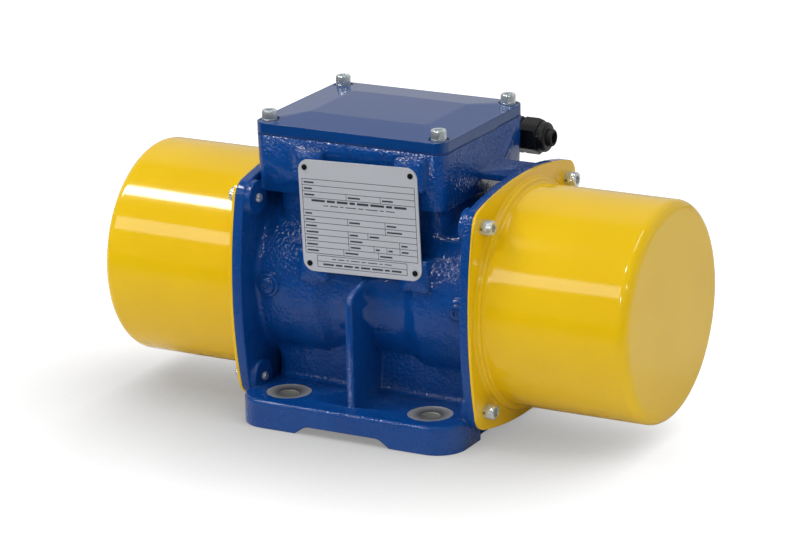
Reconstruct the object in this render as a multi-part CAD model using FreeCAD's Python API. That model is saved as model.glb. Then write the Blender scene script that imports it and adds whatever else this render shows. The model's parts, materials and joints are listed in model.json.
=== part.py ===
import FreeCAD, Part
import math
import os

# Rotary electric vibration motor with a cast, foot-mounted housing and adjustable eccentric weights.
# Frame: X along the shaft, -Y the side that carries the nameplate, +Z up. The origin is the middle of the
# four foot holes, on the plane that the foot stands on. Every weight hangs straight down at rest.
# All lengths are millimetres, and all angles are degrees.

# ---------------------------------------------------------------- driving dimensions
# Rotor, stator and winding
stack_length = 84.0
stator_d = 104.0
stator_bore_d = 60.0
slot_count = 24
stator_yoke = 7.0
slot_width = 5.0
air_gap = 0.4
coil_overhang = 20.0
coil_to_shield = 3.0
coil_inset = 4.0
coil_to_bore = 4.0
cage_bar_count = 18
cage_bar_depth = 8.0
cage_bar_width = 3.6
cage_bar_cover = 1.6
cage_ring_length = 10.0
cage_ring_depth = 11.0
cage_ring_relief = 0.8
rotor_bore_d = 32.0

# Ball bearings (25 x 62 x 17)
bearing_bore_d = 25.0
bearing_d = 62.0
bearing_width = 17.0
bearing_ring_wall = 5.2
ball_d = 11.5
ball_count = 7
ball_cage_wall = 2.0
ball_cage_width = 12.5
race_gap = 0.25

# Shaft and weights
shaft_shoulder = 2.5
weight_seat_step = 1.5
thread_step = 1.0
thread_tip = 2.0
weight_r = 64.0
weight_half_angle = 70.0
weight_edge_r = 4.0
weight_hub_r = 21.0
weight_hub_top = 7.0
weight_hub_blend = 10.0
weight_lug_half_width = 16.0
weight_lug_foot = 14.7
weight_lug_top = 27.0
weight_lug_edge_r = 3.0
fixed_weight_length = 36.0
adjustable_weight_length = 34.0
weight_play = 0.3
weight_to_hub = 2.5
clamp_slot = 3.0
clamp_bolt_d = 8.0
clamp_bolt_rise = 17.5
clamp_head_d = 13.0
clamp_socket_flats = 6.0
key_width = 6.0
key_height = 6.0
key_sunk = 3.5
key_end_gap = 3.0
key_end_r = 2.99
shaft_washer_d = 36.0
shaft_washer_thickness = 3.0
shaft_nut_flats = 30.0
shaft_nut_height = 10.0

# End shields
shield_lip = 4.0
shield_lip_bore_gap = 0.4
shield_lip_land = 5.0
shield_lip_relief = 1.0
shield_hub_wall = 8.0
shield_web_inset = 9.0
shield_web_dish = 4.0
shield_web_gap = 4.0
shield_spigot_wall = 5.0
shield_spigot_length = 10.5
shield_rim = 11.4
shield_rim_thickness = 6.0
shield_face_margin = 0.5
circlip_thickness = 2.0
circlip_groove_depth = 1.5
circlip_wall = 4.5
circlip_opening = 26.0
circlip_lip = 2.5
shield_screw_d = 5.0
shield_screw_head_d = 8.5
shield_screw_socket_flats = 4.0
shield_screw_length = 18.0
shield_screw_count = 4
shield_screw_inset = 4.9

# Housing barrel and end flanges
barrel_wall = 9.6
waist_depth = 3.6
waist_half_length = 29.0
waist_ramp = 8.0
waist_blend = 10.0
barrel_root_fillet = 4.0
flange_thickness = 6.5
flange_edge_r = 1.2
ear_r = 12.5
ear_boss_step = 1.0
ear_boss_length = 4.0
ear_boss_edge_r = 1.0
ear_standoff = 14.0

# Covers
cover_sheet = 2.0
cover_air = 7.0
cover_end_air = 11.7
cover_end_r = 7.0
cover_rim = 8.3
cover_shoulder = 3.5
cover_shoulder_length = 4.0
cover_root_r = 3.4
o_ring_width = 2.6
o_ring_depth = 2.0
o_ring_inset = 2.0

# Foot
foot_pitch_x = 105.0
foot_pitch_y = 140.0
foot_hole_d = 13.0
foot_hole_chamfer = 1.0
foot_spotface_d = 30.0
foot_spotface_depth = 0.8
foot_thickness = 19.0
foot_edge_y = 24.5
foot_overhang = 0.6
foot_corner_r = 20.0
foot_edge_r = 2.5
foot_end_inset = 54.0
foot_end_step = 5.0
flange_ground_gap = 3.7
relief_length = 70.0
relief_depth = 5.5
relief_ramp = 8.0
relief_blend = 8.0

# Skirt walls and ribs
skirt_front = 42.5
skirt_wall = 10.5
skirt_end_gap = 4.0
skirt_fillet = 4.0
scoop_r = 24.0
scoop_out = 5.0
scoop_up = 2.5
rib_thickness = 5.6
rib_edge_r = 2.2
rib_reach = 82.0
rib_top = 16.0
rib_shoulder = 8.5
rib_shoulder_r = 10.0
tie_rib_lift = 8.0

# Terminal box and lid
box_length = 140.0
box_width = 117.0
box_corner_r = 8.5
box_overhang = 0.6
box_draft = 1.3
box_rise = 4.4
box_depth = 37.5
box_wall = 6.0
box_floor = 5.0
neck_inset_x = 7.0
neck_half_width = 44.0
neck_corner_r = 12.0
lead_hole_d = 18.0
lead_hole_inset = 30.0
gasket_thickness = 1.0
gasket_inset = 0.5
lid_rim = 7.0
lid_crown = 3.0
lid_plateau_length = 86.0
lid_plateau_width = 57.0
lid_plateau_r = 2.0
lid_edge_r = 1.2
lid_hollow = 4.0
lid_hollow_r = 10.0
lid_wall_x = 17.0
lid_wall_y = 12.0
lid_screw_inset_x = 7.9
lid_screw_inset_y = 9.0
lid_boss_r = 7.5
lid_boss_depth = 22.0
lid_seat_r = 6.8
lid_seat_depth = 0.5
lid_screw_length = 20.0

# Cap screws and spring washers, shared by the covers and the lid
screw_d = 6.0
screw_head_d = 10.0
screw_head_height = 6.0
screw_socket_flats = 5.0
screw_socket_depth = 3.0
screw_hole_gap = 0.3
thread_gap = 0.05
cover_screw_length = 16.0
washer_thickness = 1.6
washer_split = 1.4

# Terminal board
board_length = 62.0
board_width = 34.0
board_height = 12.0
board_rib = 3.0
board_corner_r = 3.0
board_ear_length = 10.0
board_offset_x = 12.0
stud_d = 5.0
stud_height = 13.0
stud_pitch_x = 18.0
stud_pitch_y = 16.0
stud_sunk = 5.0
stud_nut_flats = 8.0
stud_nut_height = 4.0
board_screw_d = 4.0
board_screw_head_d = 7.0
board_screw_socket_flats = 3.0
board_screw_length = 9.0
board_screw_inset = 5.0
earth_boss_r = 6.0
earth_boss_height = 6.0
earth_screw_d = 5.0
earth_screw_head_d = 8.5
earth_screw_socket_flats = 4.0
earth_screw_length = 9.0
earth_screw_inset = 20.0

# Cable gland (M20) and the cast spout that carries it
gland_spout_r = 15.0
gland_spout_length = 26.0
gland_out = 13.5
gland_drop = 18.5
gland_back = 15.4
gland_thread_d = 20.0
gland_thread_length = 10.0
gland_flats = 22.0
gland_base_length = 7.5
gland_nut_gap = 0.8
gland_nut_length = 12.5
gland_nut_chamfer = 1.6
gland_nose_length = 5.7
gland_nose_step = 0.8
gland_nose_edge_r = 3.0
gland_lip = 1.0
gland_neck_r = 9.4
gland_neck_length = 9.0
gland_neck_wall = 1.6
cable_bore_d = 8.0
seal_length = 8.0
seal_wall = 3.0
seal_nose_wall = 1.8
seal_nose_out = 3.5
seal_nose_edge_r = 1.2
gland_passage_d = 14.0

# Cast bridge between the terminal box and the +X flange, with an eye under it
bridge_top_gap = 1.3
bridge_thickness = 5.0
bridge_front = 6.0
bridge_back = 30.0
bridge_edge_r = 1.5

# Nameplate, its pads and pins
plate_length = 87.0
plate_height = 75.0
plate_thickness = 0.8
plate_corner_r = 7.5
plate_turn = 2.0
plate_centre_x = 0.5
plate_centre_drop = 9.8
pin_pitch_x = 77.5
pin_pitch_z = 64.5
pin_d = 3.0
pin_head_d = 3.8
pin_head_height = 0.5
pin_length = 5.0
pad_rise = 4.7
pad_width = 21.0
pad_height = 21.0
pad_inset_x = 1.5
lower_pad_drop = 2.0
lower_pad_sink = 14.3
pad_corner_r = 2.0

# Bosses with plugs on the barrel
plug_boss_r = 8.5
plug_boss_rise = 2.6
plug_boss_edge_r = 1.8
plug_boss_inset = 9.5
plug_boss_up = 3.0
plug_d = 8.0
plug_length = 7.0
plug_sunk = 0.6
plug_socket_flats = 4.0
plug_socket_depth = 3.0

# Clearances, and how far a cut runs past the face it opens
seat_gap = 0.02
turn_gap = 0.05
slot_gap = 0.15
overrun = 1.0

# ---------------------------------------------------------------- derived places
bore_r = stator_d / 2 + seat_gap
barrel_r = stator_d / 2 + barrel_wall
waist_r = barrel_r - waist_depth
stack_half = stack_length / 2
shield_x = stack_half + coil_overhang + coil_to_shield
bearing_x = shield_x + shield_lip
bearing_end_x = bearing_x + bearing_width
face_x = bearing_end_x + shield_face_margin
flange_x = face_x - flange_thickness
shield_seat_x = face_x - shield_rim_thickness
circlip_end_x = bearing_end_x + circlip_thickness
hub_end_x = circlip_end_x + circlip_lip
fixed_weight_x = hub_end_x + weight_to_hub
adjustable_weight_x = fixed_weight_x + fixed_weight_length + weight_play
shaft_washer_x = adjustable_weight_x + adjustable_weight_length + weight_play
shaft_nut_x = shaft_washer_x + shaft_washer_thickness
shaft_end_x = shaft_nut_x + shaft_nut_height + thread_tip
cover_face_x = face_x + cover_sheet
cover_inner_r = weight_r + cover_air
cover_r = cover_inner_r + cover_sheet
cover_end_x = shaft_end_x + cover_end_air + cover_sheet
flange_reach = cover_r + cover_rim
ear_offset = (cover_r + ear_standoff) / math.sqrt(2)
o_ring_r = flange_reach - o_ring_inset - o_ring_width / 2
shaft_z = flange_reach + flange_ground_gap

bearing_r = bearing_d / 2
bearing_bore_r = bearing_bore_d / 2
ball_r = ball_d / 2
ball_circle_r = (bearing_r + bearing_bore_r) / 2
bearing_mid_x = bearing_x + bearing_width / 2
hub_r = bearing_r + shield_hub_wall
shield_rim_r = bore_r + shield_rim
shield_screw_r = bore_r + shield_screw_inset
weight_seat_r = bearing_bore_r - weight_seat_step
thread_r = weight_seat_r - thread_step
slot_bottom_r = stator_d / 2 - stator_yoke
rotor_r = stator_bore_d / 2 - air_gap

foot_half_x = flange_x + foot_overhang
foot_half_y = foot_pitch_y / 2 + foot_edge_y
skirt_back = skirt_front - skirt_wall

box_left_x = -(flange_x + box_overhang)
box_centre_x = box_left_x + box_length / 2
box_right_x = box_left_x + box_length
box_under_z = shaft_z + barrel_r + box_rise
box_floor_z = box_under_z + box_floor
box_top_z = box_under_z + box_depth
lid_z = box_top_z + gasket_thickness
lid_top_z = lid_z + lid_rim
lid_seat_z = lid_top_z - lid_seat_depth
board_x = box_centre_x + board_offset_x
board_top_z = box_floor_z + board_height
lid_screw_x = box_length / 2 - lid_screw_inset_x
lid_screw_y = box_width / 2 - lid_screw_inset_y
gland_y = box_width / 2 + gland_out
gland_z = box_top_z - gland_drop
gland_x = box_right_x - gland_back

seal_r = cable_bore_d / 2 + seal_wall
gland_neck_end = gland_base_length + gland_neck_length
gland_nut_start = gland_base_length + gland_nut_gap
gland_end = gland_nut_start + gland_nut_length + gland_nose_length
seal_nose_r = cable_bore_d / 2 + seal_nose_wall

pad_face_y = -(box_width / 2 + pad_rise)
plate_centre_z = box_under_z - plate_centre_drop
plug_boss_x = flange_x - plug_boss_inset
plug_boss_z = shaft_z + plug_boss_up

Vec = FreeCAD.Vector
AXIS = Vec(0, 0, shaft_z)
ALONG_X = Vec(1, 0, 0)
ALONG_Y = Vec(0, 1, 0)
ALONG_Z = Vec(0, 0, 1)
SIDES = (-1, 1)
QUARTERS = [(side_a, side_b) for side_a in SIDES for side_b in SIDES]


# ---------------------------------------------------------------- shape helpers
def rounded_wire(corners, place):
    """Closed wire through corners (u, v) or (u, v, radius), with place turning u, v into a point."""
    flat = [Vec(corner[0], corner[1], 0) for corner in corners]
    radii = [corner[2] if len(corner) > 2 else 0.0 for corner in corners]
    spans = []
    for i, here in enumerate(flat):
        if radii[i] == 0.0:
            spans.append((here, None, here))
            continue
        back = (flat[i - 1] - here).normalize()
        ahead = (flat[(i + 1) % len(flat)] - here).normalize()
        half = back.getAngle(ahead) / 2
        reach = radii[i] / math.tan(half)
        middle = (back + ahead).normalize()
        near = radii[i] / math.sin(half) - radii[i]
        spans.append((here + back * reach, here + middle * near, here + ahead * reach))
    edges = []
    for i, (start, middle, end) in enumerate(spans):
        if middle is not None:
            arc = Part.Arc(place(start.x, start.y), place(middle.x, middle.y), place(end.x, end.y))
            edges.append(arc.toShape())
        following = spans[(i + 1) % len(spans)][0]
        if (following - end).Length > 1e-6:
            edges.append(Part.LineSegment(place(end.x, end.y), place(following.x, following.y)).toShape())
    return Part.Wire(edges)


def turned(corners):
    """Solid of revolution about the shaft axis, from corners (x, r) or (x, r, radius)."""
    face = Part.Face(rounded_wire(corners, lambda x, r: Vec(x, 0, shaft_z + r)))
    return face.revolve(AXIS, ALONG_X, 360)


def prism_x(corners, x0, x1):
    """Prism along X whose corners (y, up) are measured from the shaft axis."""
    face = Part.Face(rounded_wire(corners, lambda y, up: Vec(x0, y, shaft_z + up)))
    return face.extrude(Vec(x1 - x0, 0, 0))


def prism_y(corners, y0, y1):
    """Prism along Y from corners (x, z)."""
    face = Part.Face(rounded_wire(corners, lambda x, z: Vec(x, y0, z)))
    return face.extrude(Vec(0, y1 - y0, 0))


def prism_z(corners, z0, z1):
    """Prism along Z from corners (x, y)."""
    face = Part.Face(rounded_wire(corners, lambda x, y: Vec(x, y, z0)))
    return face.extrude(Vec(0, 0, z1 - z0))


def rectangle(centre_u, centre_v, length, width, corner_r=0.0):
    """Corners of a rectangle about a centre, all with one corner radius."""
    u, v = length / 2, width / 2
    signs = ((-1, -1), (1, -1), (1, 1), (-1, 1))
    return [(centre_u + a * u, centre_v + b * v, corner_r) for a, b in signs]


def lofted_z(low, low_z, high, high_z):
    """Ruled solid between two like outlines (x, y) at two heights."""
    levels = ((low, low_z), (high, high_z))
    wires = [rounded_wire(corners, lambda x, y, z=z: Vec(x, y, z)) for corners, z in levels]
    return Part.makeLoft(wires, True, True)


def tube_x(r_out, r_in, x0, x1):
    """Plain ring about the shaft axis."""
    outer = Part.makeCylinder(r_out, x1 - x0, Vec(x0, 0, shaft_z), ALONG_X)
    return outer.cut(Part.makeCylinder(r_in, x1 - x0, Vec(x0, 0, shaft_z), ALONG_X))


def hexagon(flats, height, base, along):
    """Hexagonal prism by its width across flats, with a corner towards the frame's Z or X axis."""
    corner_r = flats / math.sqrt(3)
    aside = ALONG_Z if abs(along.z) < 0.5 else ALONG_X
    across = along.cross(aside)
    turns = [math.radians(60 * i) for i in range(7)]
    points = [base + aside * (corner_r * math.cos(t)) + across * (corner_r * math.sin(t)) for t in turns]
    return Part.Face(Part.makePolygon(points)).extrude(along * height)


def cap_screw(seat, out, diameter, length, head_d, head_height, socket_flats, socket_depth):
    """Socket cap screw whose head stands on seat and points out."""
    head = Part.makeCylinder(head_d / 2, head_height, seat, out)
    shank = Part.makeCylinder(diameter / 2, length, seat - out * length, out)
    socket = hexagon(socket_flats, socket_depth, seat + out * (head_height - socket_depth), out)
    return head.fuse(shank).cut(socket).removeSplitter()


def standard_screw(seat, out, length):
    """The M6 cap screw that the covers and the lid share."""
    return cap_screw(seat, out, screw_d, length, screw_head_d, screw_head_height, screw_socket_flats,
                     screw_socket_depth)


def spring_washer(seat, out):
    """Split spring washer under a cap screw, as wide as the screw's head."""
    ring = Part.makeCylinder(screw_head_d / 2, washer_thickness, seat, out)
    ring = ring.cut(Part.makeCylinder(screw_d / 2 + screw_hole_gap, washer_thickness, seat, out))
    side = out.cross(ALONG_Z if abs(out.z) < 0.5 else ALONG_X)
    across = out.cross(side)
    start = seat - across * (washer_split / 2)
    corners = [start, start + side * screw_head_d, start + side * screw_head_d + across * washer_split,
               start + across * washer_split, start]
    return ring.cut(Part.Face(Part.makePolygon(corners)).extrude(out * washer_thickness))


def mirrored(shape):
    """The same piece at the other end of the motor."""
    return shape.mirror(Vec(0, 0, 0), ALONG_X)


def mirrored_all(shapes):
    """The same shapes at the other end of the motor."""
    return [mirrored(shape) for shape in shapes]


def around_axis(shape, count, first=0.0):
    """Copies of a shape evenly round the shaft axis."""
    copies = []
    for i in range(count):
        copy = shape.copy()
        copy.rotate(AXIS, ALONG_X, first + 360.0 * i / count)
        copies.append(copy)
    return copies


def joined(shapes):
    """One solid from shapes that overlap or share faces."""
    return shapes[0].multiFuse(shapes[1:]).removeSplitter()


def ear_places(x):
    """The four ear screw centres on the plane at x."""
    return [Vec(x, side_y * ear_offset, shaft_z + side_z * ear_offset) for side_y, side_z in QUARTERS]


def lid_screw_places(z):
    """The four lid screw centres on the plane at z."""
    return [Vec(box_centre_x + side_x * lid_screw_x, side_y * lid_screw_y, z)
            for side_x, side_y in QUARTERS]


# ---------------------------------------------------------------- housing
def eared_wire(x):
    """Outline of the end flanges and covers: four ears joined by arcs that bulge to flange_reach."""
    sink = flange_reach - ear_offset
    arc_r = (ear_offset ** 2 + sink ** 2 - ear_r ** 2) / (2 * (sink - ear_r))
    arc_centre = flange_reach - arc_r
    stretch = arc_r / (arc_r - ear_r)
    meet = ear_offset * stretch
    meet_out = arc_centre + (ear_offset - arc_centre) * stretch
    tip = ear_offset + ear_r / math.sqrt(2)
    edges = []
    for quarter in range(4):
        cosine = round(math.cos(math.radians(90 * quarter)))
        sine = round(math.sin(math.radians(90 * quarter)))

        def at(along, out):
            return Vec(x, along * cosine - out * sine, shaft_z + along * sine + out * cosine)

        edges.append(Part.Arc(at(meet, meet_out), at(0, flange_reach), at(-meet, meet_out)).toShape())
        edges.append(Part.Arc(at(-meet, meet_out), at(-tip, tip), at(-meet_out, meet)).toShape())
    return Part.Wire(edges)


def eared_plate(x0, x1):
    """Plate with the eared outline."""
    return Part.Face(eared_wire(x0)).extrude(Vec(x1 - x0, 0, 0))


def edges_at_x(shape, x):
    """Edges of a shape that lie in the plane at x."""
    return [edge for edge in shape.Edges if all(abs(vertex.X - x) < 1e-6 for vertex in edge.Vertexes)]


def barrel():
    """Solid barrel, waisted in the middle, that flares into the flanges."""
    ramp_x = waist_half_length + waist_ramp
    root_r = barrel_r + barrel_root_fillet
    half = [(waist_half_length, waist_r, waist_blend), (ramp_x, barrel_r, waist_blend),
            (flange_x, barrel_r, barrel_root_fillet), (flange_x, root_r), (face_x, root_r), (face_x, 0)]
    other = [(-corner[0],) + tuple(corner[1:]) for corner in reversed(half)]
    return turned(other + half)


def end_flange():
    """Eared flange at the +X end, with the bosses behind its ears."""
    plate = eared_plate(flange_x, face_x)
    plate = plate.makeFillet(flange_edge_r, edges_at_x(plate, flange_x))
    bosses = []
    for place in ear_places(flange_x - ear_boss_length):
        boss = Part.makeCylinder(ear_r - ear_boss_step, ear_boss_length + flange_edge_r, place, ALONG_X)
        bosses.append(boss.makeFillet(ear_boss_edge_r, edges_at_x(boss, flange_x - ear_boss_length)))
    return joined([plate] + bosses)


def foot_rail(side):
    """One rail of the foot, between the skirt wall and the outer edge."""
    x, y = foot_half_x, foot_half_y
    step_x = foot_half_x - foot_end_step
    corners = [(-step_x, skirt_back), (step_x, skirt_back), (step_x, foot_end_inset), (x, foot_end_inset),
               (x, y, foot_corner_r), (-x, y, foot_corner_r), (-x, foot_end_inset),
               (-step_x, foot_end_inset)]
    outline = [(corner[0], side * corner[1]) + tuple(corner[2:]) for corner in corners]
    rail = prism_z(outline, 0, foot_thickness)
    rim = [edge for edge in rail.Edges
           if all(abs(vertex.Z - foot_thickness) < 1e-6 for vertex in edge.Vertexes)
           and (abs(edge.CenterOfMass.x) > x - 1e-3 or abs(edge.CenterOfMass.y) > foot_end_inset + 1e-3)]
    return rail.makeFillet(foot_edge_r, rim)


def skirt(side):
    """Wall from the foot up into the barrel, scooped at its ends to clear the ear screws."""
    mid_r = barrel_r - barrel_wall / 2
    top = -math.sqrt(mid_r ** 2 - skirt_front ** 2)
    foot_top = foot_thickness - shaft_z
    toe = skirt_front + 2 * skirt_fillet
    corners = [(side * skirt_back, -shaft_z), (side * toe, -shaft_z), (side * toe, foot_top),
               (side * skirt_front, foot_top, skirt_fillet), (side * skirt_front, top),
               (side * skirt_back, top)]
    half = flange_x - skirt_end_gap
    wall = prism_x(corners, -half, half)
    for end in SIDES:
        centre = Vec(end * (flange_x + scoop_out), side * ear_offset, shaft_z - ear_offset + scoop_up)
        wall = wall.cut(Part.makeSphere(scoop_r, centre))
    return wall


def outer_rib(side):
    """Rib up the middle of one side, rounded back under the plate."""
    inner = waist_r - waist_depth
    base = foot_thickness / 2 - shaft_z
    corners = [(side * skirt_front, base), (side * rib_reach, base),
               (side * rib_reach, rib_shoulder, rib_shoulder_r), (side * inner, rib_top),
               (side * skirt_front, rib_top)]
    rib = prism_x(corners, -rib_thickness / 2, rib_thickness / 2)
    outer = [edge for edge in rib.Edges
             if abs(abs(edge.CenterOfMass.x) - rib_thickness / 2) < 1e-6
             and abs(edge.CenterOfMass.y) > (inner + rib_reach) / 2 - rib_shoulder_r / 4
             and edge.CenterOfMass.z > foot_thickness / 2 + 1e-3]
    return rib.makeFillet(rib_edge_r, outer)


def tie_rib():
    """Cross rib between the two skirt walls, under the barrel."""
    corners = rectangle(0, 0, rib_thickness, 2 * skirt_back + rib_thickness)
    return prism_z(corners, tie_rib_lift, shaft_z - bore_r)


def box_outline(inset=0.0):
    """Outline of the terminal box, moved inwards by inset."""
    return rectangle(box_centre_x, 0, box_length - 2 * inset, box_width - 2 * inset, box_corner_r - inset)


def box_tub():
    """Outside of the terminal box with the neck that joins it to the barrel."""
    tub = lofted_z(box_outline(box_draft), box_under_z, box_outline(), box_top_z)
    neck = rectangle(box_centre_x, 0, box_length - 2 * neck_inset_x, 2 * neck_half_width, neck_corner_r)
    return [tub, prism_z(neck, shaft_z, box_under_z + box_floor / 2)]


def box_room():
    """Hollow of the terminal box, which leaves a boss in each corner for the lid screws."""
    room = prism_z(box_outline(box_wall), box_floor_z, box_top_z + gasket_thickness)
    depth = lid_boss_depth + gasket_thickness
    bosses = [Part.makeCylinder(lid_boss_r, depth, place, ALONG_Z)
              for place in lid_screw_places(box_top_z - lid_boss_depth)]
    return room.cut(bosses)


def gland_spout():
    """Cast spout on the rear wall that turns the cable entry towards the +X end."""
    start_x = gland_x - gland_spout_length
    spout = Part.makeCylinder(gland_spout_r, gland_spout_length, Vec(start_x, gland_y, gland_z), ALONG_X)
    root_y = box_width / 2 - box_wall / 2
    web = Part.makeBox(gland_spout_length, gland_y - root_y, 2 * gland_spout_r,
                       Vec(start_x, root_y, gland_z - gland_spout_r))
    return [spout, web]


def gland_passage():
    """Hole from the gland's thread through the spout and the rear wall into the box."""
    depth = gland_thread_length + overrun
    thread = Part.makeCylinder(gland_thread_d / 2 + thread_gap, depth, gland_axis(gland_x - depth),
                               ALONG_X)
    passage_r = gland_passage_d / 2
    start_x = gland_x - gland_spout_length + box_wall
    along = Part.makeCylinder(passage_r, gland_x - start_x, gland_axis(start_x), ALONG_X)
    reach = gland_out + 2 * box_wall
    turn = gland_axis(start_x + passage_r)
    inward = Part.makeCylinder(passage_r, reach, turn, -ALONG_Y)
    return [thread, along, inward]


def bridge():
    """Bar from the box's wall to the +X flange, over the gap between them, for a lifting hook."""
    top_z = shaft_z + flange_reach - bridge_top_gap
    start_x, end_x = box_right_x - box_wall / 2, flange_x + flange_thickness / 2
    bar = Part.makeBox(end_x - start_x, bridge_front + bridge_back, bridge_thickness,
                       Vec(start_x, -bridge_front, top_z - bridge_thickness))
    along = [edge for edge in bar.Edges if edge.BoundBox.XLength > end_x - start_x - 1e-6]
    return bar.makeFillet(bridge_edge_r, along)


def pin_places(y):
    """The four nameplate pins on the plane at y, turned with the plate."""
    turn = math.radians(plate_turn)
    places = []
    for side_x, side_z in QUARTERS:
        x, z = side_x * pin_pitch_x / 2, side_z * pin_pitch_z / 2
        places.append(Vec(plate_centre_x + x * math.cos(turn) - z * math.sin(turn), y,
                          plate_centre_z + x * math.sin(turn) + z * math.cos(turn)))
    return places


def plate_pads():
    """Four cast pads that the nameplate lies on: two on the box, two standing off the barrel."""
    pads = []
    for place in pin_places(pad_face_y):
        inward = -1 if place.x > plate_centre_x else 1
        if place.z > plate_centre_z:
            drop, root_y = 0.0, -(box_width - box_wall) / 2
        else:
            drop, root_y = lower_pad_drop, lower_pad_sink - waist_r
        corners = rectangle(place.x + inward * pad_inset_x, place.z - drop, pad_width, pad_height,
                            pad_corner_r)
        pads.append(prism_y(corners, pad_face_y, root_y))
    return pads


def plug_bosses():
    """The two plug bosses, rounded at the front."""
    bosses = []
    for boss in drilled(plug_boss_r, plug_boss_rise + barrel_wall / 2, plug_places(), ALONG_Y):
        front = [edge for edge in boss.Edges if edge.BoundBox.YMax < -barrel_r]
        bosses.append(boss.makeFillet(plug_boss_edge_r, front))
    return bosses


def plug_places():
    """The two plug bosses on the front of the barrel, on the boss face."""
    return [Vec(side * plug_boss_x, -(barrel_r + plug_boss_rise), plug_boss_z) for side in SIDES]


def drilled(radius, depth, places, into):
    """Round holes of one size into the faces at some places."""
    return [Part.makeCylinder(radius, depth, place, into) for place in places]


def end_holes():
    """Half of the stator's bore, and what is turned and drilled in the +X end face."""
    cuts = [Part.makeCylinder(bore_r, face_x + overrun, AXIS - ALONG_X * overrun, ALONG_X),
            Part.makeCylinder(shield_rim_r + turn_gap, shield_rim_thickness + overrun,
                              AXIS + ALONG_X * shield_seat_x, ALONG_X),
            tube_x(o_ring_r + o_ring_width / 2, o_ring_r - o_ring_width / 2, face_x - o_ring_depth,
                   face_x + overrun)]
    depth = flange_thickness + ear_boss_length + 2 * overrun
    cuts += drilled(screw_d / 2 + thread_gap, depth, ear_places(face_x + overrun), -ALONG_X)
    depth = shield_screw_length - shield_rim_thickness + overrun
    screw = Part.makeCylinder(shield_screw_d / 2 + thread_gap, depth,
                              Vec(shield_seat_x, 0, shaft_z + shield_screw_r), -ALONG_X)
    return cuts + around_axis(screw, shield_screw_count, 180.0 / shield_screw_count)


def foot_holes():
    """Bolt holes with spotfaces and chamfers, and the relief across the underside of the foot."""
    hole_r = foot_hole_d / 2
    face_z = foot_thickness - foot_spotface_depth
    cuts = []
    for side_x, side_y in QUARTERS:
        centre = Vec(side_x * foot_pitch_x / 2, side_y * foot_pitch_y / 2, 0)
        face = centre + ALONG_Z * face_z
        cuts.append(Part.makeCylinder(hole_r, face_z + overrun, face, -ALONG_Z))
        cuts.append(Part.makeCylinder(foot_spotface_d / 2, foot_spotface_depth + overrun, face, ALONG_Z))
        cuts.append(Part.makeCone(hole_r, hole_r + foot_hole_chamfer, foot_hole_chamfer,
                                  face - ALONG_Z * foot_hole_chamfer, ALONG_Z))
    half, ceiling = relief_length / 2, relief_length / 2 - relief_ramp
    relief = [(-half, -overrun), (half, -overrun), (half, 0), (ceiling, relief_depth, relief_blend),
              (-ceiling, relief_depth, relief_blend), (-half, 0)]
    return cuts + [prism_y(relief, -foot_half_y - overrun, foot_half_y + overrun)]


def box_holes():
    """The terminal box's hollow, and the holes that open into it."""
    lead = Vec(box_left_x + lead_hole_inset, 0, shaft_z + bore_r - barrel_wall)
    cuts = [box_room(), Part.makeCylinder(lead_hole_d / 2, box_floor_z + overrun - lead.z, lead, ALONG_Z)]
    cuts += drilled(screw_d / 2 + thread_gap, lid_screw_length, lid_screw_places(box_top_z), -ALONG_Z)
    depth = board_screw_length - board_rib + thread_gap
    cuts += drilled(board_screw_d / 2 + thread_gap, depth, board_screw_places(box_floor_z), -ALONG_Z)
    return cuts + gland_passage()


def small_holes():
    """Holes for the nameplate's pins and for the plugs."""
    pins = drilled(pin_d / 2 + seat_gap, pin_length, pin_places(pad_face_y), ALONG_Y)
    depth = plug_sunk + plug_length + thread_gap
    return pins + drilled(plug_d / 2 + thread_gap, depth, plug_places(), ALONG_Y)


def housing_holes():
    """Everything drilled, bored or faced in the casting."""
    return end_holes() + mirrored_all(end_holes()) + foot_holes() + box_holes() + small_holes()


def housing():
    """The whole casting, machined."""
    parts = [barrel(), end_flange(), mirrored(end_flange()), tie_rib()]
    for side in SIDES:
        parts += [foot_rail(side), skirt(side), outer_rib(side)]
    parts += box_tub() + [bridge()] + plate_pads() + gland_spout() + plug_bosses()
    cast = joined(parts).cut(housing_holes())
    boss = Part.makeCylinder(earth_boss_r, earth_boss_height + overrun, earth_place(), -ALONG_Z)
    hole = Part.makeCylinder(earth_screw_d / 2 + thread_gap, earth_screw_length, earth_place(), -ALONG_Z)
    return cast.fuse(boss).cut(hole).removeSplitter()


# ---------------------------------------------------------------- motor inside
def stator_core():
    """Ring of laminations with open slots."""
    core = tube_x(stator_d / 2, stator_bore_d / 2, -stack_half, stack_half)
    slot = Part.makeBox(stack_length, slot_width, slot_bottom_r,
                        Vec(-stack_half, -slot_width / 2, shaft_z))
    return core.cut(around_axis(slot, slot_count))


def stator_winding():
    """Coil sides in the slots, joined by the two end windings."""
    low_r = stator_bore_d / 2 + coil_inset
    side_half = slot_width / 2 - slot_gap
    side = Part.makeBox(stack_length + 2 * overrun, 2 * side_half, slot_bottom_r - slot_gap - low_r,
                        Vec(-stack_half - overrun, -side_half, shaft_z + low_r))
    head_low_r, head_high_r = low_r - slot_gap, stator_d / 2 - coil_to_bore
    x0, x1 = stack_half + slot_gap, stack_half + coil_overhang
    blend = (head_high_r - head_low_r) / 3
    head = turned([(x0, head_low_r), (x1, head_low_r, blend), (x1, head_high_r, blend), (x0, head_high_r)])
    return joined([head, mirrored(head)] + around_axis(side, slot_count))


def rotor_core():
    """Rotor laminations with the tunnels for the cage bars."""
    core = tube_x(rotor_r, rotor_bore_d / 2 + seat_gap, -stack_half, stack_half)
    return core.cut(around_axis(cage_bar(seat_gap, 0), cage_bar_count))


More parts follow.
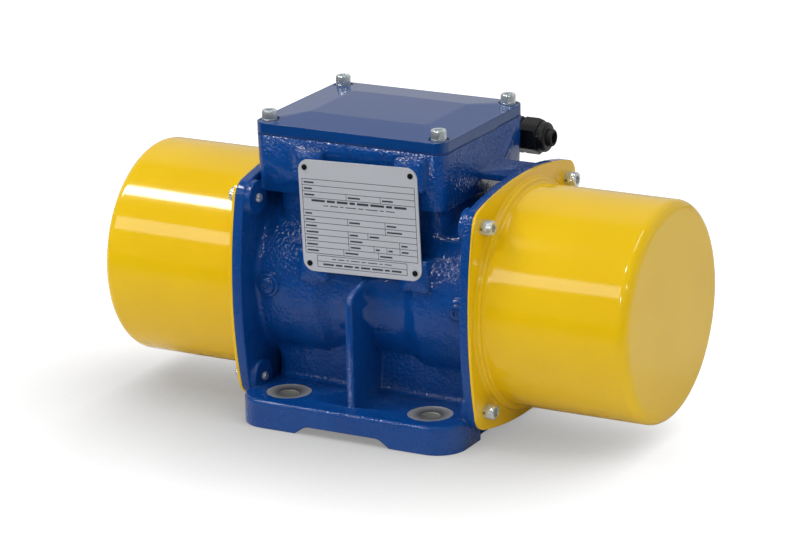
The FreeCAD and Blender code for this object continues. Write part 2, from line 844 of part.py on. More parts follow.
def cage_bar(gap, extra):
    """One bar of the squirrel cage, grown by a gap all round."""
    bottom_r = rotor_r - cage_bar_cover - cage_bar_depth - gap
    return Part.makeBox(stack_length + 2 * extra, cage_bar_width + 2 * gap, cage_bar_depth + 2 * gap,
                        Vec(-stack_half - extra, -cage_bar_width / 2 - gap, shaft_z + bottom_r))


def rotor_cage():
    """Cast aluminium squirrel cage: bars and two end rings."""
    ring_r = rotor_r - cage_ring_relief
    ring = tube_x(ring_r, ring_r - cage_ring_depth, stack_half + seat_gap, stack_half + cage_ring_length)
    return joined([ring, mirrored(ring)] + around_axis(cage_bar(0, cage_ring_length / 2), cage_bar_count))


def shaft_steps():
    """Half of the shaft's outline, from the middle to the +X end."""
    core_r = rotor_bore_d / 2
    shoulder_r = bearing_bore_r + shaft_shoulder
    core_x = stack_half + cage_ring_length
    return [(core_x, core_r), (core_x, shoulder_r), (bearing_x, shoulder_r), (bearing_x, bearing_bore_r),
            (fixed_weight_x, bearing_bore_r), (fixed_weight_x, weight_seat_r),
            (shaft_washer_x, weight_seat_r), (shaft_washer_x, thread_r),
            (shaft_end_x - thread_step, thread_r), (shaft_end_x, thread_r - thread_step), (shaft_end_x, 0)]


def key_slot(gap, height):
    """Round-ended keyway or key at the +X end, standing on the sunk face of the shaft."""
    x0 = fixed_weight_x + key_end_gap
    length = fixed_weight_length - 2 * key_end_gap
    base_z = shaft_z + weight_seat_r - key_sunk
    corners = rectangle(x0 + length / 2, 0, length + 2 * gap, key_width + 2 * gap, key_end_r + gap)
    return prism_z(corners, base_z, base_z + height)


def shaft():
    """Stepped shaft with a keyway under each fixed weight."""
    half = shaft_steps()
    other = [(-corner[0], corner[1]) for corner in reversed(half)]
    solid = turned(other + half)
    slot = key_slot(seat_gap, key_height)
    return solid.cut([slot, mirrored(slot)])


def bearing_ring(low_r, high_r):
    """Bearing ring between two radii, with the ball groove."""
    ring = tube_x(high_r, low_r, bearing_x, bearing_end_x)
    groove = Part.makeTorus(ball_circle_r, ball_r + race_gap, Vec(bearing_mid_x, 0, shaft_z), ALONG_X)
    return ring.cut(groove)


def bearing_outer_ring():
    """Ring that sits in the end shield."""
    return bearing_ring(bearing_r - bearing_ring_wall, bearing_r)


def bearing_inner_ring():
    """Ring that sits on the shaft."""
    return bearing_ring(bearing_bore_r + seat_gap, bearing_bore_r + bearing_ring_wall)


def bearing_balls():
    """All balls of one bearing, each a solid of its own."""
    ball = Part.makeSphere(ball_r, Vec(bearing_mid_x, 0, shaft_z + ball_circle_r))
    return Part.makeCompound(around_axis(ball, ball_count))


def bearing_cage():
    """Cage ring with a round pocket for each ball."""
    half = ball_cage_width / 2
    outer_r = ball_circle_r + ball_cage_wall / 2
    ring = tube_x(outer_r, outer_r - ball_cage_wall, bearing_mid_x - half, bearing_mid_x + half)
    pocket = Part.makeCylinder(ball_r + seat_gap, bearing_r, Vec(bearing_mid_x, 0, shaft_z), ALONG_Z)
    return ring.cut(around_axis(pocket, ball_count))


def end_shield():
    """Turned shield for the bearing, with its spigot in the barrel and its rim in the end face."""
    spigot_r = bore_r - seat_gap
    spigot_in_r = spigot_r - shield_spigot_wall
    spigot_x = shield_seat_x - shield_spigot_length
    seat_r = bearing_r + seat_gap
    groove_r = bearing_r + circlip_groove_depth
    web_x = shield_x + shield_web_inset
    web_out_x = face_x - shield_web_dish
    rim_r = shield_rim_r
    lip_r = bearing_bore_r + shaft_shoulder + shield_lip_bore_gap
    relief_r = bearing_r - shield_lip_land
    relief_x = bearing_x - shield_lip_relief
    shield = turned([
        (shield_x, lip_r), (shield_x, hub_r), (web_x, hub_r, shield_web_gap / 2), (web_x, spigot_in_r),
        (spigot_x, spigot_in_r), (spigot_x, spigot_r), (shield_seat_x, spigot_r), (shield_seat_x, rim_r),
        (face_x, rim_r), (face_x, spigot_in_r), (web_out_x, hub_r + shield_web_gap), (web_out_x, hub_r),
        (hub_end_x, hub_r), (hub_end_x, seat_r), (circlip_end_x, seat_r), (circlip_end_x, groove_r),
        (bearing_end_x, groove_r), (bearing_end_x, seat_r), (bearing_x, seat_r), (bearing_x, relief_r),
        (relief_x, relief_r), (relief_x, lip_r)])
    hole = Part.makeCylinder(shield_screw_d / 2 + screw_hole_gap, shield_rim_thickness + 2 * overrun,
                             Vec(shield_seat_x - overrun, 0, shaft_z + shield_screw_r), ALONG_X)
    return shield.cut(around_axis(hole, shield_screw_count, 180.0 / shield_screw_count))


def end_shield_screws():
    """Cap screws through the shield's rim."""
    seat = Vec(face_x, 0, shaft_z + shield_screw_r)
    screw = cap_screw(seat, ALONG_X, shield_screw_d, shield_screw_length, shield_screw_head_d,
                      shield_screw_d, shield_screw_socket_flats, shield_screw_d / 2)
    return Part.makeCompound(around_axis(screw, shield_screw_count, 180.0 / shield_screw_count))


def bearing_circlip():
    """Internal circlip in the hub, open at the top."""
    outer_r = bearing_r + circlip_groove_depth - seat_gap
    ring = tube_x(outer_r, outer_r - circlip_wall, bearing_end_x + seat_gap, circlip_end_x - seat_gap)
    reach = outer_r + overrun
    half = reach * math.tan(math.radians(circlip_opening / 2))
    gap = prism_x([(0, 0), (-half, reach), (half, reach)], bearing_end_x, circlip_end_x)
    return ring.cut(gap)


# ---------------------------------------------------------------- eccentric weights
def weight_blank(x0, length):
    """Sector weight that hangs down, with a hub and a flat-topped lug above the bore."""
    angle = math.radians(weight_half_angle)
    side_y, side_up = weight_r * math.sin(angle) + overrun, -weight_r * math.cos(angle)
    lug, edge_r = weight_lug_half_width, weight_lug_edge_r
    half = [(side_y, -weight_r - overrun), (side_y, side_up, weight_edge_r),
            (weight_hub_r, weight_hub_top, weight_hub_blend), (lug, weight_lug_foot, edge_r),
            (lug, weight_lug_top, edge_r)]
    corners = half + [(-corner[0],) + corner[1:] for corner in reversed(half)]
    disc = Part.makeCylinder(weight_r, length, Vec(x0, 0, shaft_z), ALONG_X)
    return prism_x(corners, x0, x0 + length).common(disc)


def fixed_weight():
    """Keyed weight next to the bearing."""
    blank = weight_blank(fixed_weight_x, fixed_weight_length)
    place = Vec(fixed_weight_x, 0, shaft_z)
    bore = Part.makeCylinder(weight_seat_r + seat_gap, fixed_weight_length, place, ALONG_X)
    key_half = key_width / 2 + seat_gap
    key_top = weight_seat_r - key_sunk + key_height + seat_gap
    keyway = Part.makeBox(fixed_weight_length, 2 * key_half, key_top, place - ALONG_Y * key_half)
    return blank.cut([bore, keyway])


def weight_key():
    """Key between the shaft and the fixed weight."""
    return key_slot(0, key_height)


def clamp_seat():
    """Middle of the face that the clamp bolt's head bears on."""
    return Vec(adjustable_weight_x + adjustable_weight_length / 2, weight_lug_half_width,
               shaft_z + clamp_bolt_rise)


def adjustable_weight():
    """Weight whose split hub is clamped on the shaft at any angle to the fixed one."""
    x, length = adjustable_weight_x, adjustable_weight_length
    blank = weight_blank(x, length)
    bore = Part.makeCylinder(weight_seat_r + turn_gap, length, Vec(x, 0, shaft_z), ALONG_X)
    split = Part.makeBox(length, clamp_slot, weight_lug_top + overrun, Vec(x, -clamp_slot / 2, shaft_z))
    width = 2 * weight_lug_half_width
    bolt_hole = Part.makeCylinder(clamp_bolt_d / 2 + turn_gap, width, clamp_seat(), -ALONG_Y)
    spotface = Part.makeCylinder(clamp_head_d / 2 + screw_hole_gap, width, clamp_seat(), ALONG_Y)
    return blank.cut([bore, split, bolt_hole, spotface])


def clamp_bolt():
    """Cap screw that closes the adjustable weight's split."""
    return cap_screw(clamp_seat(), ALONG_Y, clamp_bolt_d, 2 * weight_lug_half_width, clamp_head_d,
                     clamp_bolt_d, clamp_socket_flats, clamp_bolt_d / 2)


def shaft_washer():
    """Plain washer between the adjustable weight and the nut."""
    return tube_x(shaft_washer_d / 2, thread_r + turn_gap, shaft_washer_x, shaft_nut_x)


def shaft_nut():
    """Hexagon nut on the end of the shaft."""
    place = Vec(shaft_nut_x, 0, shaft_z)
    blank = hexagon(shaft_nut_flats, shaft_nut_height, place, ALONG_X)
    return blank.cut(Part.makeCylinder(thread_r + seat_gap, shaft_nut_height, place, ALONG_X))


# ---------------------------------------------------------------- covers
def cover():
    """Drawn cup with a stepped root and an eared flange."""
    shoulder_r = cover_r + cover_shoulder
    shoulder_x = cover_face_x + cover_shoulder_length
    flat_r = shoulder_r + cover_root_r + overrun
    sheet = cover_sheet
    cup = turned([
        (face_x, flat_r), (cover_face_x, flat_r), (cover_face_x, shoulder_r, cover_root_r / 2),
        (shoulder_x, shoulder_r, cover_root_r / 2), (shoulder_x, cover_r, cover_root_r / 2),
        (cover_end_x, cover_r, cover_end_r), (cover_end_x, 0), (cover_end_x - sheet, 0),
        (cover_end_x - sheet, cover_inner_r, cover_end_r - sheet), (shoulder_x - sheet, cover_inner_r),
        (shoulder_x - sheet, shoulder_r - sheet), (face_x, shoulder_r - sheet)])
    rim = eared_plate(face_x, cover_face_x)
    rim = rim.cut(Part.makeCylinder(flat_r, sheet, Vec(face_x, 0, shaft_z), ALONG_X))
    holes = drilled(screw_d / 2 + screw_hole_gap, sheet, ear_places(face_x), ALONG_X)
    return joined([cup, rim]).cut(holes)


def cover_o_ring():
    """Round rubber seal in the groove of the end face, under the cover's flange."""
    centre = AXIS + ALONG_X * (face_x - o_ring_depth / 2)
    return Part.makeTorus(o_ring_r, o_ring_depth / 2 - seat_gap, centre, ALONG_X)


def cover_screws():
    """The cap screws in the cover's ears."""
    seats = ear_places(cover_face_x + washer_thickness)
    return Part.makeCompound([standard_screw(seat, ALONG_X, cover_screw_length) for seat in seats])


def cover_spring_washers():
    """The washers under the cover screws."""
    return Part.makeCompound([spring_washer(seat, ALONG_X) for seat in ear_places(cover_face_x)])


# ---------------------------------------------------------------- terminal box
def terminal_lid_gasket():
    """Flat seal that follows the box's rim and its four bosses."""
    plate = prism_z(box_outline(gasket_inset), box_top_z, lid_z)
    holes = drilled(screw_d / 2 + screw_hole_gap, gasket_thickness, lid_screw_places(box_top_z), ALONG_Z)
    return plate.cut([box_room()] + holes)


def terminal_box_lid():
    """Cast lid: a rim, a crown that rises to a flat panel, and a hollow underneath."""
    rim = prism_z(box_outline(), lid_z, lid_top_z)
    panel = rectangle(box_centre_x, 0, lid_plateau_length, lid_plateau_width, lid_plateau_r)
    crown = lofted_z(box_outline(lid_edge_r), lid_top_z, panel, lid_top_z + lid_crown)
    hollow = rectangle(box_centre_x, 0, box_length - 2 * lid_wall_x, box_width - 2 * lid_wall_y,
                       lid_hollow_r)
    seats = drilled(lid_seat_r, lid_rim, lid_screw_places(lid_seat_z), ALONG_Z)
    holes = drilled(screw_d / 2 + screw_hole_gap, lid_rim, lid_screw_places(lid_seat_z), -ALONG_Z)
    return joined([rim, crown]).cut([prism_z(hollow, lid_z, lid_z + lid_hollow)] + seats + holes)


def terminal_lid_screws():
    """The cap screws at the lid's corners."""
    seats = lid_screw_places(lid_seat_z + washer_thickness)
    return Part.makeCompound([standard_screw(seat, ALONG_Z, lid_screw_length) for seat in seats])


def terminal_lid_spring_washers():
    """The washers under the lid screws."""
    return Part.makeCompound([spring_washer(seat, ALONG_Z) for seat in lid_screw_places(lid_seat_z)])


def board_screw_places(z):
    """The two board screws on the plane at z."""
    reach = board_length / 2 - board_screw_inset
    return [Vec(board_x + side * reach, 0, z) for side in SIDES]


def stud_places(z):
    """The six terminal studs on the plane at z."""
    return [Vec(board_x + i * stud_pitch_x, side * stud_pitch_y / 2, z)
            for i in (-1, 0, 1) for side in SIDES]


def terminal_board():
    """Moulded board with a raised rib between its two rows of studs and an ear at each end."""
    body_length = board_length - 2 * board_ear_length
    low = prism_z(rectangle(board_x, 0, board_length, board_width / 2, board_corner_r), box_floor_z,
                  box_floor_z + board_rib)
    body = prism_z(rectangle(board_x, 0, body_length, board_width, board_corner_r), box_floor_z,
                   board_top_z)
    rib = Part.makeBox(body_length, board_rib, board_height + board_rib,
                       Vec(board_x - body_length / 2, -board_rib / 2, box_floor_z))
    holes = drilled(stud_d / 2 + seat_gap, stud_sunk, stud_places(board_top_z), -ALONG_Z)
    screw_r = board_screw_d / 2 + screw_hole_gap
    holes += drilled(screw_r, board_rib, board_screw_places(box_floor_z), ALONG_Z)
    return joined([low, body, rib]).cut(holes)


def terminal_studs():
    """Plain studs sunk in the board."""
    places = stud_places(board_top_z - stud_sunk)
    return Part.makeCompound(drilled(stud_d / 2, stud_sunk + stud_height, places, ALONG_Z))


def terminal_nuts():
    """One hexagon nut on each stud."""
    nuts = []
    for place in stud_places(board_top_z):
        nut = hexagon(stud_nut_flats, stud_nut_height, place, ALONG_Z)
        nuts.append(nut.cut(Part.makeCylinder(stud_d / 2 + seat_gap, stud_nut_height, place, ALONG_Z)))
    return Part.makeCompound(nuts)


def terminal_board_screws():
    """Cap screws that hold the board by its ears."""
    screws = [cap_screw(place, ALONG_Z, board_screw_d, board_screw_length, board_screw_head_d,
                        board_screw_d, board_screw_socket_flats, board_screw_d / 2)
              for place in board_screw_places(box_floor_z + board_rib)]
    return Part.makeCompound(screws)


def earth_place():
    """Top of the earth boss, on the floor of the box."""
    return Vec(box_right_x - earth_screw_inset, earth_screw_inset - box_width / 2,
               box_floor_z + earth_boss_height)


def earth_screw():
    """Screw for the earth lead."""
    return cap_screw(earth_place(), ALONG_Z, earth_screw_d, earth_screw_length, earth_screw_head_d,
                     earth_screw_d, earth_screw_socket_flats, earth_screw_d / 2)


# ---------------------------------------------------------------- cable gland
def gland_axis(x):
    """Point of the gland's axis at x."""
    return Vec(x, gland_y, gland_z)


def turned_on_gland(corners):
    """Solid of revolution about the gland's axis, from corners (x beyond the spout, r)."""
    wire = rounded_wire(corners, lambda x, r: Vec(gland_x + x, gland_y, gland_z + r))
    return Part.Face(wire).revolve(gland_axis(gland_x), ALONG_X, 360)


def gland_body():
    """Threaded body with a hexagon against the spout and a neck under the dome nut."""
    bore = cable_bore_d / 2
    thread = gland_thread_d / 2
    foot = gland_axis(gland_x)
    base = hexagon(gland_flats, gland_base_length, foot, ALONG_X)
    base = base.cut(Part.makeCylinder(bore + gland_neck_wall, gland_base_length, foot, ALONG_X))
    core = turned_on_gland([(-gland_thread_length, bore), (gland_neck_end, bore),
                            (gland_neck_end, gland_neck_r), (gland_base_length / 2, gland_neck_r),
                            (gland_base_length / 2, thread), (-gland_thread_length, thread)])
    return joined([base, core])


def gland_dome_nut():
    """Chamfered hexagonal nut with a round nose."""
    start, neck_end, end = gland_nut_start, gland_neck_end, gland_end
    hex_end = start + gland_nut_length
    corner_r = gland_flats / math.sqrt(3)
    low_r = corner_r - gland_nut_chamfer
    nose_r = gland_flats / 2 - gland_nose_step
    blank = hexagon(gland_flats, end - start, gland_axis(gland_x + start), ALONG_X)
    turned_form = turned_on_gland([(start, 0), (start, low_r), (start + gland_nut_chamfer, corner_r),
                                   (hex_end - gland_nut_chamfer, corner_r), (hex_end, low_r),
                                   (hex_end, nose_r), (end, nose_r, gland_nose_edge_r), (end, 0)])
    thread = gland_neck_r + turn_gap
    room = seal_r + seat_gap
    mouth = seal_nose_r + turn_gap
    bore = turned_on_gland([(start - overrun, 0), (start - overrun, thread), (neck_end + turn_gap, thread),
                            (neck_end + turn_gap, room), (neck_end + seal_length, room),
                            (end - gland_lip, mouth), (end + overrun, mouth), (end + overrun, 0)])
    return blank.common(turned_form).cut(bore)


def gland_seal():
    """Rubber sleeve that grips the cable inside the dome nut and stands out of its nose."""
    start, shoulder = gland_neck_end + turn_gap + seat_gap, gland_neck_end + seal_length - seat_gap
    tip = gland_end + seal_nose_out
    cable = cable_bore_d / 2
    return turned_on_gland([(start, cable), (start, seal_r), (shoulder, seal_r),
                            (gland_end - gland_lip, seal_nose_r), (tip, seal_nose_r, seal_nose_edge_r),
                            (tip, cable)])


# ---------------------------------------------------------------- nameplate and plugs
def nameplate():
    """Thin plate with round corners, a little turned on its pads."""
    corners = rectangle(plate_centre_x, plate_centre_z, plate_length, plate_height, plate_corner_r)
    plate = prism_y(corners, pad_face_y - plate_thickness, pad_face_y)
    plate.rotate(Vec(plate_centre_x, 0, plate_centre_z), ALONG_Y, -plate_turn)
    return plate.cut(drilled(pin_d / 2 + seat_gap, plate_thickness, pin_places(pad_face_y), -ALONG_Y))


def nameplate_pins():
    """Grooved drive pins with low heads."""
    pins = []
    for place in pin_places(pad_face_y - plate_thickness):
        pin = Part.makeCylinder(pin_d / 2, pin_length, place, ALONG_Y)
        head = Part.makeCylinder(pin_head_d / 2, pin_head_height, place, -ALONG_Y)
        pins.append(joined([pin, head]))
    return Part.makeCompound(pins)


def grease_plugs():
    """Socket plugs, a little below the boss faces."""
    plugs = []
    for place in plug_places():
        start = place + ALONG_Y * plug_sunk
        plug = Part.makeCylinder(plug_d / 2, plug_length, start, ALONG_Y)
        plugs.append(plug.cut(hexagon(plug_socket_flats, plug_socket_depth, start, ALONG_Y)))
    return Part.makeCompound(plugs)


# ---------------------------------------------------------------- export
SINGLE_PIECES = {
    "housing": housing,
    "stator_core": stator_core,
    "stator_winding": stator_winding,
    "rotor_core": rotor_core,
    "rotor_cage": rotor_cage,
    "shaft": shaft,
    "terminal_box_lid": terminal_box_lid,
    "terminal_lid_gasket": terminal_lid_gasket,
    "terminal_lid_screws": terminal_lid_screws,
    "terminal_lid_spring_washers": terminal_lid_spring_washers,
    "terminal_board": terminal_board,
    "terminal_board_screws": terminal_board_screws,
    "terminal_studs": terminal_studs,
    "terminal_nuts": terminal_nuts,
    "earth_screw": earth_screw,
    "gland_body": gland_body,
    "gland_dome_nut": gland_dome_nut,
    "gland_seal": gland_seal,
    "nameplate": nameplate,
    "nameplate_pins": nameplate_pins,
    "grease_plugs": grease_plugs,
}

# Built for the +X end and mirrored for the -X end
END_PIECES = {
    "end_shield": end_shield,
    "end_shield_screws": end_shield_screws,
    "bearing_outer_ring": bearing_outer_ring,
    "bearing_inner_ring": bearing_inner_ring,
    "bearing_balls": bearing_balls,
    "bearing_cage": bearing_cage,
    "bearing_circlip": bearing_circlip,
    "fixed_weight": fixed_weight,
    "weight_key": weight_key,
    "adjustable_weight": adjustable_weight,
    "clamp_bolt": clamp_bolt,
    "shaft_washer": shaft_washer,
    "shaft_nut": shaft_nut,
    "cover": cover,
    "cover_o_ring": cover_o_ring,
    "cover_screws": cover_screws,
    "cover_spring_washers": cover_spring_washers,
}


def main():
    """Build every piece and write it to its own file."""
    os.makedirs("parts", exist_ok=True)
    for name, build in SINGLE_PIECES.items():
        build().exportStep("parts/" + name + ".step")
    for name, build in END_PIECES.items():
        piece = build()
        piece.exportStep("parts/right_" + name + ".step")
        mirrored(piece).exportStep("parts/left_" + name + ".step")


main()
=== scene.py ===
"""Looks of a foot-mounted vibration motor: enamelled casting, lacquered covers, zinc screws, black gland."""

import json
import logging
import math
from dataclasses import dataclass
from enum import Enum

import bmesh
import bpy
from mathutils import Matrix, Vector


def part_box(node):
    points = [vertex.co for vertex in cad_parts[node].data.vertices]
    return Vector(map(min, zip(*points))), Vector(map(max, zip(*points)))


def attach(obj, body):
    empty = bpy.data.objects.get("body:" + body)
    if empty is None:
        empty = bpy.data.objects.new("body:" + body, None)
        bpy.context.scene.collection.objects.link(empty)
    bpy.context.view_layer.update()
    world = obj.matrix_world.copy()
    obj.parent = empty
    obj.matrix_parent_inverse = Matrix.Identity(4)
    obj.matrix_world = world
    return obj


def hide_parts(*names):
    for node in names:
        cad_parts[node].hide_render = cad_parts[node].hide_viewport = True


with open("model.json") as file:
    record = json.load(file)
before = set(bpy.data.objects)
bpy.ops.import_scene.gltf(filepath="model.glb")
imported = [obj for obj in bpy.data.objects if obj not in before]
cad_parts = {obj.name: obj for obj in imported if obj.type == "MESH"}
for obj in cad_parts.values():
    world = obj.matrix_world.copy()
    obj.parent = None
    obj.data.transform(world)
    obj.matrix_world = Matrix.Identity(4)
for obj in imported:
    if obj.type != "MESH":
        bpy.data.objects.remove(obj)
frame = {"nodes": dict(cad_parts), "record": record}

LOG = logging.getLogger("vibration_motor")
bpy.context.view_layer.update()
MM = 0.001
ENDS = ("left", "right")
WELD_MM = 0.002  # corners of the CAD triangles that lie this close together are one corner
FACE_WEIGHT = 60  # how strongly a large face pulls the normals at a rounded edge

Mark = tuple[float, float, float, float]  # left, right, low and high edge, in mm


# ------------------------------------------------------------------ small tools
def to_linear(hex_colour: str) -> tuple[float, float, float, float]:
    """Turn an sRGB hex colour into a linear colour.

    Args:
        hex_colour: six hex digits after a hash.

    Returns:
        Red, green and blue as linear light, and an alpha of 1.
    """
    parts = [int(hex_colour[i:i + 2], 16) / 255 for i in (1, 3, 5)]
    linear = [p / 12.92 if p <= 0.04045 else ((p + 0.055) / 1.055) ** 2.4 for p in parts]
    return linear[0], linear[1], linear[2], 1.0


def add_node(tree: bpy.types.NodeTree, kind: str, inputs: dict | None = None, **settings) -> bpy.types.Node:
    """Add one shader node with its settings, values and links.

    Args:
        tree: the material's node tree.
        kind: the node's type name.
        inputs: socket name or number to a value, or to the output socket that drives it.
        **settings: properties of the node.

    Returns:
        The new node.
    """
    node = tree.nodes.new(kind)
    for name, value in settings.items():
        setattr(node, name, value)
    for socket, value in (inputs or {}).items():
        if isinstance(value, bpy.types.NodeSocket):
            tree.links.new(value, node.inputs[socket])
        else:
            node.inputs[socket].default_value = value
    return node


def new_material(name: str) -> tuple[bpy.types.Material, bpy.types.NodeTree]:
    """Make a material with an empty node tree.

    Args:
        name: what the finish is called.

    Returns:
        The material and its node tree.
    """
    material = bpy.data.materials.new(name)
    material.use_nodes = True
    material.node_tree.nodes.clear()
    return material, material.node_tree


def smoothed(mesh: bpy.types.Mesh, angle: float) -> None:
    """Shade a mesh smooth, with its edges sharp above an angle.

    Args:
        mesh: the mesh to shade.
        angle: the turn between two faces, in degrees, above which their edge stays sharp.
    """
    mesh.polygons.foreach_set("use_smooth", [True] * len(mesh.polygons))
    mesh.set_sharp_from_angle(angle=math.radians(angle))


def even_normals(piece: bpy.types.Object) -> None:
    """Let large faces set the normals beside a rounded edge.

    Args:
        piece: the object, whose sharp edges are marked.
    """
    modifier = piece.modifiers.new("even_normals", "WEIGHTED_NORMAL")
    modifier.keep_sharp = True
    modifier.weight = FACE_WEIGHT


def show(piece: bpy.types.Object, body: str, replaced: tuple[str, ...] = ()) -> bpy.types.Object:
    """Put a finished piece on its body.

    Args:
        piece: the new object, already in its place.
        body: the body it moves with.
        replaced: the CAD nodes that it stands for.

    Returns:
        The piece.
    """
    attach(piece, body)
    if replaced:
        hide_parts(*replaced)
    LOG.info("%s: %d faces on %s", piece.name, len(piece.data.polygons), body)
    return piece


def object_from(shape: bmesh.types.BMesh, name: str, material: bpy.types.Material) -> bpy.types.Object:
    """Turn a bmesh into a linked object with a finish, and free the bmesh.

    Args:
        shape: the modelled shape, in metres in the row frame.
        name: the new object's name.
        material: its finish.

    Returns:
        The object, at the origin.
    """
    mesh = bpy.data.meshes.new(name)
    shape.to_mesh(mesh)
    shape.free()
    mesh.materials.append(material)
    piece = bpy.data.objects.new(name, mesh)
    bpy.context.scene.collection.objects.link(piece)
    return piece


def merged_copy(node: str, name: str, material: bpy.types.Material, angle: float) -> bpy.types.Object:
    """Copy a CAD node with its loose triangles merged, so that curved faces shade smoothly.

    Args:
        node: the CAD node.
        name: the new piece's name.
        material: its finish.
        angle: the sharp edge angle in degrees.

    Returns:
        The copy, at the origin.
    """
    shape = bmesh.new()
    shape.from_mesh(frame["nodes"][node].data)
    bmesh.ops.remove_doubles(shape, verts=shape.verts, dist=WELD_MM * MM)
    piece = object_from(shape, name, material)
    smoothed(piece.data, angle)
    even_normals(piece)
    return piece


def dress(nodes: tuple[str, ...], material: bpy.types.Material) -> None:
    """Give CAD nodes a finish as they are.

    Args:
        nodes: the CAD nodes, which keep their shape.
        material: their finish.
    """
    for node in nodes:
        mesh = frame["nodes"][node].data
        mesh.materials.clear()
        mesh.materials.append(material)
    LOG.info("%s: %s", material.name, ", ".join(nodes))


def middle_of(node: str) -> Vector:
    """Middle of a CAD node's box."""
    low, high = (Vector(corner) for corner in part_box(node))
    return (low + high) / 2


def loose_boxes(node: str) -> list[tuple[Vector, Vector]]:
    """Find the box of every separate solid in a CAD node.

    Args:
        node: the CAD node.

    Returns:
        The low and high corners of each solid.
    """
    shape = bmesh.new()
    shape.from_mesh(frame["nodes"][node].data)
    bmesh.ops.remove_doubles(shape, verts=shape.verts, dist=WELD_MM * MM)
    boxes, seen = [], set()
    for start in shape.verts:
        if start in seen:
            continue
        seen.add(start)
        reached, low, high = [start], start.co.copy(), start.co.copy()
        while reached:
            vert = reached.pop()
            for axis in range(3):
                low[axis] = min(low[axis], vert.co[axis])
                high[axis] = max(high[axis], vert.co[axis])
            for edge in vert.link_edges:
                other = edge.other_vert(vert)
                if other not in seen:
                    seen.add(other)
                    reached.append(other)
        boxes.append((low, high))
    shape.free()
    return boxes


def both_ends(*names: str) -> tuple[str, ...]:
    """Names of the nodes at both ends of the motor."""
    return tuple(f"{end}_{name}" for end in ENDS for name in names)


# ------------------------------------------------------------------ turned shapes
class Rim(Enum):
    """Outline of one ring of a turned shape."""

    ROUND = "round"
    KNURLED = "knurled"
    HEXAGON = "hexagon"


@dataclass(frozen=True)
class Ring:
    """One ring of a turned shape: its level on the axis and its radius, or half its flats, in mm."""

    level: float
    radius: float
    rim: Rim = Rim.ROUND

    def point(self, angle: float, is_groove: bool, tooth: float) -> Vector:
        """Place one point of the ring.

        Args:
            angle: the point's angle round the axis.
            is_groove: whether the point is the bottom of a groove where the ring is knurled.
            tooth: depth of the knurl.

        Returns:
            The point, in mm.
        """
        reach = self.radius
        if self.rim is Rim.KNURLED and is_groove:
            reach -= tooth
        elif self.rim is Rim.HEXAGON:
            reach /= math.cos(angle % (math.pi / 3) - math.pi / 6)
        return Vector((reach * math.cos(angle), reach * math.sin(angle), self.level))


def add_turned(shape: bmesh.types.BMesh, rings: list[Ring], place: Matrix, segments: int,
               tooth: float = 0.0) -> None:
    """Raise a closed turned shape from a disc, one extruded ring after another.

    Args:
        shape: the mesh that grows.
        rings: the rings in order, from one closed end to the other.
        place: where the shape stands and where its axis Z points.
        segments: the points round each ring, two for each tooth of a knurl.
        tooth: depth of the knurl in mm.
    """
    around = bmesh.ops.create_circle(shape, cap_ends=True, radius=1.0, segments=segments)["verts"]
    loop = list(around[0].link_faces[0].edges)
    step = math.tau / segments
    placed = []
    for ring in rings:
        if placed:
            raised = bmesh.ops.extrude_edge_only(shape, edges=loop)["geom"]
            around = [part for part in raised if isinstance(part, bmesh.types.BMVert)]
            loop = [part for part in raised if isinstance(part, bmesh.types.BMEdge)]
        for vert in around:
            angle = math.atan2(vert.co.y, vert.co.x)
            vert.co = ring.point(angle, round(angle / step) % 2 == 1, tooth)
        placed += around
    bmesh.ops.edgeloop_fill(shape, edges=loop)
    bmesh.ops.transform(shape, matrix=place @ Matrix.Scale(MM, 4), verts=placed)


